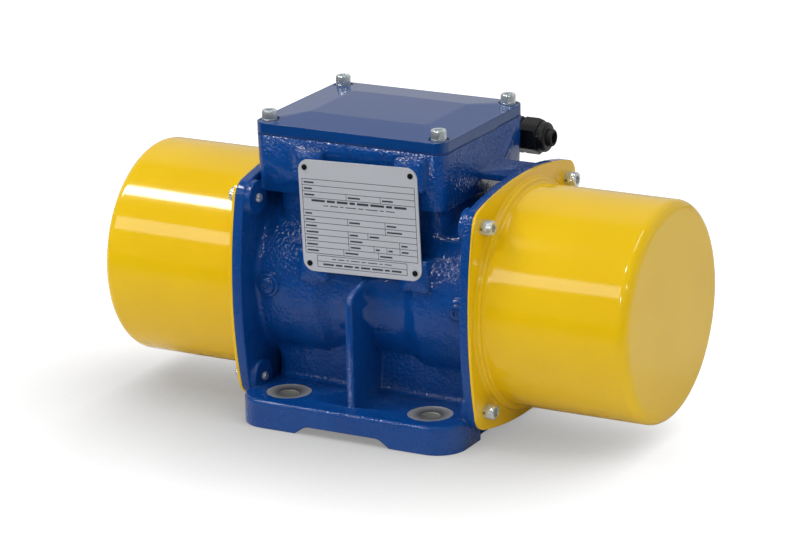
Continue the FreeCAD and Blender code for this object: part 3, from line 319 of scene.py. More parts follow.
# ------------------------------------------------------------------ finishes
@dataclass(frozen=True)
class BareRings:
    """Faced rings round the foot holes, where the cutter left bare iron: grey, painted lighter at the rim as a
    highlight and darker toward the hole as shade.

    The cutter's grooves are drawn several times as wide as they are, so that they show.
    """

    # The rim's light grey is partly the iron's own and partly a painted highlight; the colour toward the hole
    # is painted shade.
    colour: str = "#B2B2B0"
    painted_shade_colour: str = "#4A4A48"
    bore_colour: str = "#A4A4A1"
    bore_mm: float = 6.7
    radius_mm: float = 15.05
    level_mm: float = 18.6
    metallic: float = 0.3
    roughness: float = 0.42
    groove_mm: float = 0.9
    groove_height_mm: float = 0.05

    def over(self, tree: bpy.types.NodeTree, paint: bpy.types.NodeSocket,
             place: bpy.types.NodeSocket) -> bpy.types.NodeSocket:
        """Lay the turned iron over the paint, on the rings and in the holes.

        Args:
            tree: the node tree.
            paint: the paint's shader.
            place: the object coordinates.

        Returns:
            The mixed shader.
        """
        reach = self.reach(tree, place)
        turns = add_node(tree, "ShaderNodeMath", {0: reach, 1: math.tau / (self.groove_mm * MM)},
                         operation="MULTIPLY")
        wave = add_node(tree, "ShaderNodeMath", {0: turns.outputs[0]}, operation="SINE")
        bump = add_node(tree, "ShaderNodeBump",
                        {"Height": wave.outputs[0], "Distance": self.groove_height_mm * MM, "Strength": 0.5})
        # Painted light and shade: the iron runs from painted shade at the hole out to a painted highlight at
        # the rim.
        outward = add_node(tree, "ShaderNodeMapRange",
                           {"Value": reach, "From Min": self.bore_mm * MM, "From Max": self.radius_mm * MM})
        face = add_node(tree, "ShaderNodeMix",
                        {"Factor": outward.outputs[0], "A": to_linear(self.painted_shade_colour),
                         "B": to_linear(self.colour)}, data_type="RGBA")
        inside = add_node(tree, "ShaderNodeMath", {0: reach, 1: self.bore_mm * MM}, operation="LESS_THAN")
        tone = add_node(tree, "ShaderNodeMix",
                        {"Factor": inside.outputs[0], "A": face.outputs["Result"],
                         "B": to_linear(self.bore_colour)}, data_type="RGBA")
        iron = add_node(tree, "ShaderNodeBsdfPrincipled",
                        {"Base Color": tone.outputs["Result"], "Metallic": self.metallic,
                         "Roughness": self.roughness, "Normal": bump.outputs["Normal"]})
        bare = self.mask(tree, place, reach)
        return add_node(tree, "ShaderNodeMixShader", {0: bare, 1: paint, 2: iron.outputs[0]}).outputs[0]

    def reach(self, tree: bpy.types.NodeTree, place: bpy.types.NodeSocket) -> bpy.types.NodeSocket:
        """Measure how far each point stands from the nearest foot hole's axis.

        Args:
            tree: the node tree.
            place: the object coordinates.

        Returns:
            The distance in metres.
        """
        mount = next(m for m in frame["record"]["mounts"] if m["name"] == "foot_bolts")
        half_x, half_y = (mount["dims"][key] * MM / 2 for key in ("spacing_x_mm", "spacing_y_mm"))
        folded = add_node(tree, "ShaderNodeVectorMath", {0: place}, operation="ABSOLUTE")
        moved = add_node(tree, "ShaderNodeVectorMath", {0: folded.outputs[0], 1: (half_x, half_y, 0.0)},
                         operation="SUBTRACT")
        flat = add_node(tree, "ShaderNodeVectorMath", {0: moved.outputs[0], 1: (1.0, 1.0, 0.0)},
                        operation="MULTIPLY")
        length = add_node(tree, "ShaderNodeVectorMath", {0: flat.outputs[0]}, operation="LENGTH")
        return length.outputs["Value"]

    def mask(self, tree: bpy.types.NodeTree, place: bpy.types.NodeSocket,
             reach: bpy.types.NodeSocket) -> bpy.types.NodeSocket:
        """Find the faced rings and the holes in them.

        Args:
            tree: the node tree.
            place: the object coordinates.
            reach: the distance from the nearest hole's axis.

        Returns:
            A socket that is 1 on the bare faces and 0 elsewhere.
        """
        near = add_node(tree, "ShaderNodeMath", {0: reach, 1: self.radius_mm * MM}, operation="LESS_THAN")
        split = add_node(tree, "ShaderNodeSeparateXYZ", {0: place})
        low = add_node(tree, "ShaderNodeMath", {0: split.outputs["Z"], 1: self.level_mm * MM},
                       operation="LESS_THAN")
        return add_node(tree, "ShaderNodeMath", {0: near.outputs[0], 1: low.outputs[0]},
                        operation="MULTIPLY").outputs[0]


@dataclass(frozen=True)
class CastEnamel:
    """Gloss enamel sprayed over sand-cast iron: the sand's grain sparkles through it in patches.

    The grain is drawn about twice as wide as sand leaves it, so that it shows.
    """

    name: str = "gloss_enamel_on_cast_iron"
    colour: str = "#09458D"
    deep_colour: str = "#063D81"
    grain_mm: float = 1.9
    grain_height_mm: float = 0.45
    drift_share: float = 0.6
    patch_mm: float = 34.0
    calm_share: float = 0.12  # the grain's height where it is calm, as a share of its full height
    calm_below: float = 0.36  # the patch noise under which the grain is calm
    full_above: float = 0.54  # and over which it is full
    ripple_mm: float = 11.0
    ripple_height_mm: float = 0.5
    roughness: float = 0.09
    edge_mm: float = 1.8
    rings: BareRings | None = None

    def material(self) -> bpy.types.Material:
        """Build the finish, with bare machined faces round the foot holes where rings are given.

        Returns:
            The material.
        """
        material, tree = new_material(self.name)
        place = add_node(tree, "ShaderNodeTexCoord").outputs["Object"]
        ripple = add_node(tree, "ShaderNodeTexNoise",
                          {"Vector": place, "Scale": 1 / (self.ripple_mm * MM), "Detail": 1.0})
        rounded = add_node(tree, "ShaderNodeBevel", {"Radius": self.edge_mm * MM}, samples=8)
        waved = add_node(tree, "ShaderNodeBump",
                         {"Height": ripple.outputs["Fac"], "Distance": self.ripple_height_mm * MM,
                          "Strength": 1.0, "Normal": rounded.outputs["Normal"]})
        bump = add_node(tree, "ShaderNodeBump",
                        {"Height": self.grain(tree, place), "Distance": self.grain_height_mm * MM,
                         "Strength": 1.0, "Normal": waved.outputs["Normal"]})
        shade = add_node(tree, "ShaderNodeMix",
                         {"Factor": ripple.outputs["Fac"], "A": to_linear(self.deep_colour),
                          "B": to_linear(self.colour)}, data_type="RGBA")
        shader = add_node(tree, "ShaderNodeBsdfPrincipled",
                          {"Base Color": shade.outputs["Result"], "Roughness": self.roughness,
                           "Normal": bump.outputs["Normal"], "IOR": 1.5})
        surface = shader.outputs[0]
        if self.rings:
            surface = self.rings.over(tree, surface, place)
        add_node(tree, "ShaderNodeOutputMaterial", {"Surface": surface})
        return material

    def grain(self, tree: bpy.types.NodeTree, place: bpy.types.NodeSocket) -> bpy.types.NodeSocket:
        """Draw the sand's grain, which comes and goes in patches over the casting.

        Args:
            tree: the node tree.
            place: the object coordinates.

        Returns:
            The grain's height from 0 to 1.
        """
        drift = add_node(tree, "ShaderNodeTexNoise",
                         {"Vector": place, "Scale": self.drift_share / (self.grain_mm * MM), "Detail": 2.0})
        moved = add_node(tree, "ShaderNodeVectorMath",
                         {0: drift.outputs["Color"], 1: (self.grain_mm * MM,) * 3, 2: place},
                         operation="MULTIPLY_ADD")
        grain = add_node(tree, "ShaderNodeTexVoronoi",
                         {"Vector": moved.outputs[0], "Scale": 1 / (self.grain_mm * MM), "Smoothness": 0.5},
                         feature="SMOOTH_F1")
        patch = add_node(tree, "ShaderNodeTexNoise",
                         {"Vector": place, "Scale": 1 / (self.patch_mm * MM), "Detail": 1.0})
        share = add_node(tree, "ShaderNodeMapRange",
                         {"Value": patch.outputs["Fac"], "From Min": self.calm_below,
                          "From Max": self.full_above, "To Min": self.calm_share, "To Max": 1.0})
        height = add_node(tree, "ShaderNodeMath", {0: grain.outputs["Distance"], 1: share.outputs[0]},
                          operation="MULTIPLY")
        return height.outputs[0]


@dataclass(frozen=True)
class SprayedGloss:
    """Gloss lacquer sprayed on drawn sheet steel: a mirror with a faint peel and the sheet's slow waves."""

    name: str = "gloss_lacquer_on_drawn_steel"
    colour: str = "#EDC412"
    shade_colour: str = "#E6B90C"
    peel_mm: float = 2.4
    wave_mm: float = 40.0
    wave_weight: float = 10.0
    peel_height_mm: float = 0.006
    roughness: float = 0.09
    edge_mm: float = 0.8

    def material(self) -> bpy.types.Material:
        """Build the finish.

        Returns:
            The material.
        """
        material, tree = new_material(self.name)
        place = add_node(tree, "ShaderNodeTexCoord").outputs["Object"]
        peel = add_node(tree, "ShaderNodeTexNoise",
                        {"Vector": place, "Scale": 1 / (self.peel_mm * MM), "Detail": 1.0})
        wave = add_node(tree, "ShaderNodeTexNoise",
                        {"Vector": place, "Scale": 1 / (self.wave_mm * MM), "Detail": 1.0})
        height = add_node(tree, "ShaderNodeMath",
                          {0: wave.outputs["Fac"], 1: self.wave_weight, 2: peel.outputs["Fac"]},
                          operation="MULTIPLY_ADD")
        rounded = add_node(tree, "ShaderNodeBevel", {"Radius": self.edge_mm * MM}, samples=6)
        bump = add_node(tree, "ShaderNodeBump",
                        {"Height": height.outputs[0], "Distance": self.peel_height_mm * MM, "Strength": 1.0,
                         "Normal": rounded.outputs["Normal"]})
        shade = add_node(tree, "ShaderNodeMix",
                         {"Factor": wave.outputs["Fac"], "A": to_linear(self.shade_colour),
                          "B": to_linear(self.colour)}, data_type="RGBA")
        shader = add_node(tree, "ShaderNodeBsdfPrincipled",
                          {"Base Color": shade.outputs["Result"], "Roughness": self.roughness,
                           "Normal": bump.outputs["Normal"], "IOR": 1.5})
        add_node(tree, "ShaderNodeOutputMaterial", {"Surface": shader.outputs[0]})
        return material


class Grain(Enum):
    """How a bare surface was worked, which sets the direction of its marks."""

    TURNED = "turned"
    STACKED = "stacked"
    EVEN = "even"


@dataclass(frozen=True)
class BareSurface:
    """Unpainted metal, plastic or rubber, with marks of the tool or mould that made it.

    Marks too fine to show are drawn as coarse as they need to be.
    """

    name: str
    colour: str
    second_colour: str
    metallic: float
    roughness: float
    grain: Grain = Grain.EVEN
    mark_mm: float = 0.8
    height_mm: float = 0.02
    edge_mm: float = 0.3
    roughness_spread: float = 0.15
    turned_share: float = 0.2

    def material(self) -> bpy.types.Material:
        """Build the finish.

        Returns:
            The material.
        """
        material, tree = new_material(self.name)
        place = add_node(tree, "ShaderNodeTexCoord").outputs["Object"]
        marks = self.marks(tree, place)
        rounded = add_node(tree, "ShaderNodeBevel", {"Radius": self.edge_mm * MM}, samples=4)
        bump = add_node(tree, "ShaderNodeBump",
                        {"Height": marks, "Distance": self.height_mm * MM, "Strength": 1.0,
                         "Normal": rounded.outputs["Normal"]})
        tone = add_node(tree, "ShaderNodeMix",
                        {"Factor": marks, "A": to_linear(self.second_colour), "B": to_linear(self.colour)},
                        data_type="RGBA")
        rough = add_node(tree, "ShaderNodeMapRange",
                         {"Value": marks, "To Min": self.roughness * (1 - self.roughness_spread),
                          "To Max": self.roughness * (1 + self.roughness_spread)})
        shader = add_node(tree, "ShaderNodeBsdfPrincipled",
                          {"Base Color": tone.outputs["Result"], "Metallic": self.metallic,
                           "Roughness": rough.outputs[0], "Normal": bump.outputs["Normal"]})
        add_node(tree, "ShaderNodeOutputMaterial", {"Surface": shader.outputs[0]})
        return material

    def marks(self, tree: bpy.types.NodeTree, place: bpy.types.NodeSocket) -> bpy.types.NodeSocket:
        """Draw the marks as a height from 0 to 1.

        Args:
            tree: the node tree.
            place: the object coordinates.

        Returns:
            The height's socket.
        """
        scale = 1 / (self.mark_mm * MM)
        if self.grain is Grain.EVEN:
            noise = add_node(tree, "ShaderNodeTexNoise", {"Vector": place, "Scale": scale, "Detail": 3.0})
            return noise.outputs["Fac"]
        across = 1.0 if self.grain is Grain.STACKED else scale * self.turned_share
        stretch = (scale, across, across)
        placed = add_node(tree, "ShaderNodeMapping", {"Vector": place, "Scale": stretch})
        noise = add_node(tree, "ShaderNodeTexNoise",
                         {"Vector": placed.outputs[0], "Scale": 1.0, "Detail": 2.0})
        return noise.outputs["Fac"]


# ------------------------------------------------------------------ sub-assemblies
@dataclass
class PaintedPlugs:
    """Socket plugs in the two side bosses, under so much paint that each looks like a soft dome."""

    material: bpy.types.Material
    sunk_mm: float = 0.6
    root_mm: float = 1.5
    paint_margin_mm: float = 2.3
    paint_film_mm: float = 0.02
    crown_mm: float = 2.6
    crown_steps: int = 6
    socket_flats_mm: float = 4.0
    socket_depth_mm: float = 0.9
    crown_share: float = 1.3  # where the dome ends, its mouth opens and its socket ends,
    mouth_share: float = 1.12  # as shares of half the socket's flats
    taper_share: float = 0.9
    segments: int = 48
    sharp_angle: float = 35.0

    def build(self) -> None:
        """Build both plugs as one piece."""
        shape = bmesh.new()
        for low, high in loose_boxes("grease_plugs"):
            middle = (low + high) / 2
            boss_face = Vector((middle.x, low.y - self.sunk_mm * MM, middle.z))
            place = Matrix.Translation(boss_face) @ Matrix.Rotation(math.pi / 2, 4, "X")
            add_turned(shape, self.profile((high.x - low.x) / 2 / MM), place, self.segments)
        bmesh.ops.recalc_face_normals(shape, faces=shape.faces)
        piece = object_from(shape, "grease_plugs_painted", self.material)
        smoothed(piece.data, self.sharp_angle)
        show(piece, "housing", ("grease_plugs",))

    def profile(self, plug_r: float) -> list[Ring]:
        """List the rings from the plug's root, over the painted dome and down into its socket.

        Args:
            plug_r: radius of the plug in mm.

        Returns:
            The rings, with the boss's face as level 0.
        """
        edge_r = plug_r + self.paint_margin_mm
        flats_r = self.socket_flats_mm / 2
        rings = [Ring(-self.sunk_mm - self.root_mm, plug_r), Ring(-self.paint_film_mm, edge_r)]
        for step in range(1, self.crown_steps):
            turn = math.pi / 2 * step / self.crown_steps
            inward = (edge_r - flats_r * self.crown_share) * (1 - math.cos(turn))
            rings.append(Ring(self.crown_mm * math.sin(turn), edge_r - inward))
        return rings + [Ring(self.crown_mm, flats_r * self.mouth_share),
                        Ring(self.crown_mm, flats_r, Rim.HEXAGON),
                        Ring(self.crown_mm - self.socket_depth_mm, flats_r * self.taper_share, Rim.HEXAGON)]


@dataclass
class Casting:
    """The housing, its lid and its plugs, all painted after assembly."""

    sharp_angle: float = 32.0
    lid_sharp_angle: float = 4.0

    def build(self) -> None:
        """Copy and dress the housing and the lid, and build the plugs."""
        rough = CastEnamel(rings=BareRings()).material()
        # The lid's enamel is the housing's paint drawn darker, as painted shade; the plugs share it.
        smooth = CastEnamel(name="gloss_enamel_on_smooth_lid", colour="#083E81", deep_colour="#073974",
                            grain_height_mm=0.012, ripple_height_mm=0.02, edge_mm=0.9,
                            roughness=0.13).material()
        housing = merged_copy("housing", "housing_casting", rough, self.sharp_angle)
        show(housing, "housing", ("housing",))
        lid = merged_copy("terminal_box_lid", "lid_casting", smooth, self.lid_sharp_angle)
        show(lid, "housing", ("terminal_box_lid",))
        PaintedPlugs(smooth).build()


@dataclass
class WeightCovers:
    """The two drawn covers."""

    sharp_angle: float = 40.0

    def build(self) -> None:
        """Copy and dress both covers."""
        lacquer = SprayedGloss().material()
        for end in ENDS:
            cover = merged_copy(f"{end}_cover", f"{end}_cover_shell", lacquer, self.sharp_angle)
            show(cover, "housing", (f"{end}_cover",))


@dataclass
class CapScrews:
    """Socket cap screws with knurled heads and rolled threads, in the places of a CAD node's plain ones."""

    node: str
    material: bpy.types.Material
    outward: Vector
    head_mm: float = 6.0
    shank_share: float = 0.6
    teeth: int = 36
    tooth_mm: float = 0.24
    foot_chamfer_mm: float = 0.35
    # Depth under the head's top and way in from its rim, for each ring of its rounded edge.
    crown_mm: tuple[tuple[float, float], ...] = ((0.45, 0.28), (0.15, 0.5), (0.002, 0.85))
    rim_depth_mm: float = 0.85
    socket_flats_mm: float = 5.0
    socket_depth_mm: float = 3.0
    mouth_share: float = 1.27
    mouth_chamfer_mm: float = 0.35
    drill_cone_mm: float = 0.7
    drill_tip_mm: float = 0.3
    pitch_mm: float = 1.0
    thread_mm: float = 0.45
    # Way along one turn and height of its thread there, as shares of the pitch and of the full height.
    thread_turn: tuple[tuple[float, float], ...] = ((0.35, 1.0), (0.55, 1.0), (0.9, 0.0))
    tip_mm: float = 0.4
    tip_chamfer_mm: float = 0.2
    neck_mm: float = 0.4
    run_out_mm: float = 1.5
    sharp_angle: float = 28.0

    def build(self) -> None:
        """Build every screw of the node as one piece."""
        shape = bmesh.new()
        for low, high in loose_boxes(self.node):
            size = high - low
            length = abs(size.dot(self.outward))
            head_top = (low + high) / 2 + self.outward * length / 2
            place = Matrix.Translation(head_top) @ self.outward.to_track_quat("Z", "Y").to_matrix().to_4x4()
            rings = self.thread(min(size) / 2 / MM, length / MM) + self.head(min(size) / 2 / MM)
            add_turned(shape, rings, place, 2 * self.teeth, self.tooth_mm)
        bmesh.ops.recalc_face_normals(shape, faces=shape.faces)
        piece = object_from(shape, f"{self.node}_knurled", self.material)
        smoothed(piece.data, self.sharp_angle)
        show(piece, "housing", (self.node,))

    def thread(self, head_r: float, length: float) -> list[Ring]:
        """List the rings from the screw's tip to its neck, with a round groove in place of each turn.

        Args:
            head_r: radius of the head in mm.
            length: whole length in mm.

        Returns:
            The rings, with the head's top as level 0.
        """
        shank_r = head_r * self.shank_share
        core_r = shank_r - self.thread_mm
        start = self.tip_mm - length
        rings = [Ring(-length, core_r - self.tip_chamfer_mm), Ring(start, core_r)]
        for turn in range(int((length - self.head_mm - self.run_out_mm) / self.pitch_mm)):
            rings += [Ring(start + (turn + way) * self.pitch_mm, core_r + rise * self.thread_mm)
                      for way, rise in self.thread_turn]
        return rings + [Ring(-self.head_mm - self.neck_mm, core_r), Ring(-self.head_mm, shank_r)]

    def head(self, head_r: float) -> list[Ring]:
        """List the rings from the underside of the head, over its knurl and down into its socket.

        Args:
            head_r: radius of the head in mm.

        Returns:
            The rings, with the head's top as level 0.
        """
        socket_r = self.socket_flats_mm / 2
        top = -self.crown_mm[-1][0]
        return [Ring(-self.head_mm, head_r - self.foot_chamfer_mm),
                Ring(self.foot_chamfer_mm - self.head_mm, head_r, Rim.KNURLED),
                Ring(-self.rim_depth_mm, head_r, Rim.KNURLED),
                *(Ring(-depth, head_r - inward) for depth, inward in self.crown_mm),
                Ring(top, socket_r * self.mouth_share),
                Ring(-self.mouth_chamfer_mm, socket_r, Rim.HEXAGON),
                Ring(-self.socket_depth_mm, socket_r, Rim.HEXAGON),
                Ring(-self.socket_depth_mm - self.drill_cone_mm, self.drill_tip_mm)]


@dataclass
class PlatePrint:
    """Plain ruled form printed on the nameplate, with dashes where a maker would fill in words."""

    material: bpy.types.Material
    turn_deg: float = 2.0
    lift_mm: float = 0.02
    rule_mm: float = 0.38
    half_width_mm: float = 41.2
    top_mm: float = 24.6
    row_mm: float = 4.15
    dash_mm: float = 1.1
    dash_inset_mm: float = 1.2
    dash_rise_mm: float = 1.4
    dash_gap_mm: float = 1.4
    # One entry for each row of the form: the places of its upright rules, then the lengths of its dashes.
    dividers: tuple[tuple[float, ...], ...] = (
        (), (), (-9.0, 16.0), (), (), (), (-9.0, 18.5), (18.5,), (-9.0, 5.5), (-9.0, 28.5),
        (-9.0, 9.5, 19.0, 28.5), (-13.0, 12.5))
    captions: tuple[tuple[float, ...], ...] = (
        (7.5,), (6.0,), (7.5, 9.0, 8.0), (), (), (5.0,), (7.0, 8.0, 7.0), (8.0, 11.0), (9.0, 6.0, 7.0),
        (8.5, 9.0, 4.5), (8.0, 7.5, 3.0, 3.0, 5.0), (8.5, 9.5, 9.0))
    # The notice takes one row and the next, with small print under its large dashes.
    notice_row: int = 3
    notice: tuple[float, ...] = (10.0, 6.0, 8.0, 4.0, 8.5, 10.0, 4.5, 9.0)
    notice_mm: float = 1.5
    notice_rise_mm: float = 0.4
    small_notice: tuple[float, ...] = (3.5, 6.0, 2.5, 8.0, 4.0, 9.0, 3.0, 6.5)
    small_notice_mm: float = 0.6
    small_notice_share: float = 0.65
    box_half_mm: float = 33.0
    box_low_mm: float = -34.2
    box_high_mm: float = -26.4
    box_notice_mm: float = 1.2
    box_share: float = 0.8

    def build(self) -> None:
        """Lay every rule and dash on the plate's face."""
        middle = middle_of("nameplate")
        face = Vector((middle.x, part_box("nameplate")[0][1] - self.lift_mm * MM, middle.z))
        place = (Matrix.Translation(face) @ Matrix.Rotation(math.pi / 2, 4, "X")
                 @ Matrix.Rotation(math.radians(self.turn_deg), 4, "Z") @ Matrix.Scale(MM, 4))
        shape = bmesh.new()
        for left, right, low, high in self.form() + self.lower_box():
            spot = Matrix.Translation(((left + right) / 2, (low + high) / 2, 0.0))
            size = Matrix.Diagonal((right - left, high - low, 1.0, 1.0))
            bmesh.ops.create_grid(shape, x_segments=1, y_segments=1, size=0.5, matrix=place @ spot @ size)
        piece = object_from(shape, "nameplate_print", self.material)
        show(piece, "housing")

    def form(self) -> list[Mark]:
        """List the marks of the ruled form, whose notice takes one row and the next with no rule between.

        Returns:
            The marks, measured from the plate's middle.
        """
        half, rule = self.half_width_mm, self.rule_mm / 2
        marks = []
        for row, (splits, captions) in enumerate(zip(self.dividers, self.captions)):
            high = self.top_mm - row * self.row_mm
            low = high - self.row_mm
            if row != self.notice_row + 1:
                marks.append((-half, half, high - rule, high + rule))
            marks += [(x - rule, x + rule, low, high) for x in splits]
            foot = low + self.dash_rise_mm
            for start, width in zip((-half,) + splits, captions):
                left = start + self.dash_inset_mm
                marks.append((left, left + width, foot, foot + self.dash_mm))
        bottom = self.top_mm - len(self.dividers) * self.row_mm
        marks.append((-half, half, bottom - rule, bottom + rule))
        marks += [(side * half - rule, side * half + rule, bottom, self.top_mm) for side in (-1, 1)]
        notice_mid = self.top_mm - (self.notice_row + 0.5) * self.row_mm
        small_mid = notice_mid - self.small_notice_share * self.row_mm
        return (marks + self.dashes(self.notice, notice_mid + self.notice_rise_mm, self.notice_mm)
                + self.dashes(self.small_notice, small_mid, self.small_notice_mm))

    def lower_box(self) -> list[Mark]:
        """List the marks of the framed box at the foot of the plate.

        Returns:
            The marks, measured from the plate's middle.
        """
        half, rule = self.box_half_mm, self.rule_mm / 2
        step = (self.box_high_mm - self.box_low_mm) / 2
        levels = (self.box_low_mm, self.box_low_mm + step, self.box_high_mm)
        marks = [(-half, half, level - rule, level + rule) for level in levels]
        marks += [(side * half - rule, side * half + rule, levels[0], levels[2]) for side in (-1, 1)]
        for low, height, words in ((levels[1], self.small_notice_mm, self.small_notice),
                                   (levels[0], self.box_notice_mm, self.notice)):
            marks += self.dashes(tuple(self.box_share * word for word in words), low + step / 2, height)
        return marks

    def dashes(self, widths: tuple[float, ...], level: float, height: float) -> list[Mark]:
        """Centre a line of dashes.

        Args:
            widths: the length of each dash.
            level: the line's middle.
            height: the dashes' height.

        Returns:
            The marks, from left to right.
        """
        left = -(sum(widths) + self.dash_gap_mm * (len(widths) - 1)) / 2
        marks = []
        for width in widths:
            marks.append((left, left + width, level - height / 2, level + height / 2))
            left += width + self.dash_gap_mm
        return marks


@dataclass
class Hardware:
    """Screws, nameplate, gland and the works inside, all in their CAD shape but for the screws in view."""

    screw_ways: tuple[tuple[str, tuple[float, float, float]], ...] = (
        ("terminal_lid_screws", (0.0, 0.0, 1.0)), ("left_cover_screws", (-1.0, 0.0, 0.0)),
        ("right_cover_screws", (1.0, 0.0, 0.0)))

    def build(self) -> None:
        """Build the screws and the print, and dress every other node."""
        self.screws()
        # Printed ink lies flat and dull, a bluish black.
        ink = BareSurface("dark_screen_printed_ink", "#2C2F38", "#363943", 0.0, 0.5, mark_mm=0.4,
                          height_mm=0.002)
        PlatePrint(ink.material()).build()
        self.outer_parts()
        self.terminals()
        self.electric_parts()
        self.shaft_parts()

    def screws(self) -> None:
        """Build the cap screws in view, and dress the small zinc-plated parts."""
        # Bright zinc is a bluish white metal, whose clear passivated skin scatters part of the light.
        zinc = BareSurface("bright_zinc_plated_steel", "#E4EBEE", "#D3DBDF", 0.78, 0.22).material()
        for node, outward in self.screw_ways:
            CapScrews(node, zinc, Vector(outward)).build()
        dress(("terminal_lid_spring_washers", "terminal_board_screws")
              + both_ends("cover_spring_washers", "end_shield_screws", "shaft_nut", "shaft_washer"), zinc)

    def outer_parts(self) -> None:
        """Dress the nameplate and its pins, the gland, the lid's gasket and the rubber rings."""
        # Oxide is a thin black skin through which the steel still glints.
        oxide = BareSurface("black_oxide_steel", "#2A2B2D", "#1C1D1F", 0.8, 0.42)
        dress(("nameplate_pins",) + both_ends("clamp_bolt", "bearing_circlip"), oxide.material())
        # Etched before it was anodised, the plate is pale and silky.
        plate = BareSurface("satin_anodised_aluminium", "#D3D6DC", "#C9CDD4", 0.35, 0.36, mark_mm=0.4,
                            height_mm=0.004)
        dress(("nameplate",), plate.material())
        # Nylon from a fine mould is deep black, with a soft sheen on its rounded corners.
        nylon = BareSurface("moulded_black_nylon", "#0B0B0C", "#101011", 0.0, 0.42, mark_mm=0.6, edge_mm=0.6)
        dress(("gland_body", "gland_dome_nut"), nylon.material())
        # Moulded nitrile is black and nearly matt.
        rubber = BareSurface("moulded_nitrile_rubber", "#151515", "#1E1E1E", 0.0, 0.65)
        dress(("gland_seal",) + both_ends("cover_o_ring"), rubber.material())
        # Enamel reached the gasket's cut edge, which is blue but dull.
        gasket = BareSurface("fibre_gasket_with_overspray", "#0B3D80", "#08336E", 0.0, 0.5)
        dress(("terminal_lid_gasket",), gasket.material())

    def terminals(self) -> None:
        """Dress the terminal board and what is screwed to it."""
        # Drawn brass is a warm yellow, nearly polished by its die.
        brass = BareSurface("drawn_brass", "#C9A45A", "#A98440", 1.0, 0.3)
        dress(("earth_screw", "terminal_studs", "terminal_nuts"), brass.material())
        # Phenolic board is brownish black, with a low sheen from its mould.
        board = BareSurface("moulded_phenolic_board", "#1B1A19", "#262422", 0.0, 0.4)
        dress(("terminal_board",), board.material())

    def electric_parts(self) -> None:
        """Dress the stator and the rotor."""
        # Stacked sheet shows its edges as fine dark and light lines across the shaft.
        sheet = BareSurface("stacked_electrical_sheet", "#6F7378", "#4F5256", 1.0, 0.45, Grain.STACKED, 0.5)
        dress(("stator_core", "rotor_core"), sheet.material())
        # Varnish makes the bundled copper wire glossy and brown in its hollows.
        winding = BareSurface("varnished_copper_wire", "#B0602F", "#7C3A17", 0.6, 0.3, mark_mm=0.9,
                              height_mm=0.3)
        dress(("stator_winding",), winding.material())
        # Pressure-cast aluminium is light grey and matt.
        cage = BareSurface("pressure_cast_aluminium", "#B7B9BC", "#9FA2A6", 1.0, 0.5)
        dress(("rotor_cage",), cage.material())

    def shaft_parts(self) -> None:
        """Dress the shaft and what it carries or turns in."""
        # A lathe leaves light steel with fine rings round the shaft.
        turned = BareSurface("turned_steel", "#A9ACB0", "#8C9095", 1.0, 0.3, Grain.TURNED, 0.4)
        dress(("shaft",) + both_ends("weight_key", "bearing_cage"), turned.material())
        # Machined cast iron is a duller and darker grey, with coarser rings.
        iron = BareSurface("machined_cast_iron", "#6A6C70", "#55575B", 0.9, 0.5, Grain.TURNED, 0.7)
        dress(both_ends("end_shield"), iron.material())
        # Grinding makes bearing steel almost a mirror.
        ground = BareSurface("ground_bearing_steel", "#C6C8CB", "#B5B8BC", 1.0, 0.14, Grain.TURNED, 0.3)
        dress(both_ends("bearing_outer_ring", "bearing_inner_ring", "bearing_balls"), ground.material())
        # Flame-cut plate keeps its blotched mill skin.
        plate = BareSurface("flame_cut_plate_steel", "#7B7E83", "#5C5F64", 1.0, 0.48, mark_mm=1.6)
        dress(both_ends("fixed_weight", "adjustable_weight"), plate.material())


# ------------------------------------------------------------------ studio
@dataclass(frozen=True)
class SoftBox:
    """A flat lamp that faces the motor, one side level: the way to it, its size in metres and its watts."""

    name: str
    way: tuple[float, float, float]
    size: tuple[float, float]
    watts: float
    distance: float = 2.5
    is_lighting: bool = True
    is_mirrored: bool = True

    def hang(self, aim: Vector) -> None:
        """Hang the lamp.

        Args:
            aim: the point that it faces.
        """
        data = bpy.data.lights.new(self.name, "AREA")
        data.shape = "RECTANGLE"
        data.size, data.size_y = self.size
        data.energy = self.watts
        toward = Vector(self.way).normalized()
        level = Vector((1.0, 0.0, 0.0))
        level = (level - toward * level.dot(toward)).normalized()
        turn = Matrix((level, toward.cross(level), toward)).transposed()
        lamp = bpy.data.objects.new(self.name, data)
        lamp.matrix_world = Matrix.Translation(aim + toward * self.distance) @ turn.to_4x4()
        lamp.visible_diffuse = self.is_lighting
        lamp.visible_glossy = self.is_mirrored
        bpy.context.scene.collection.objects.link(lamp)


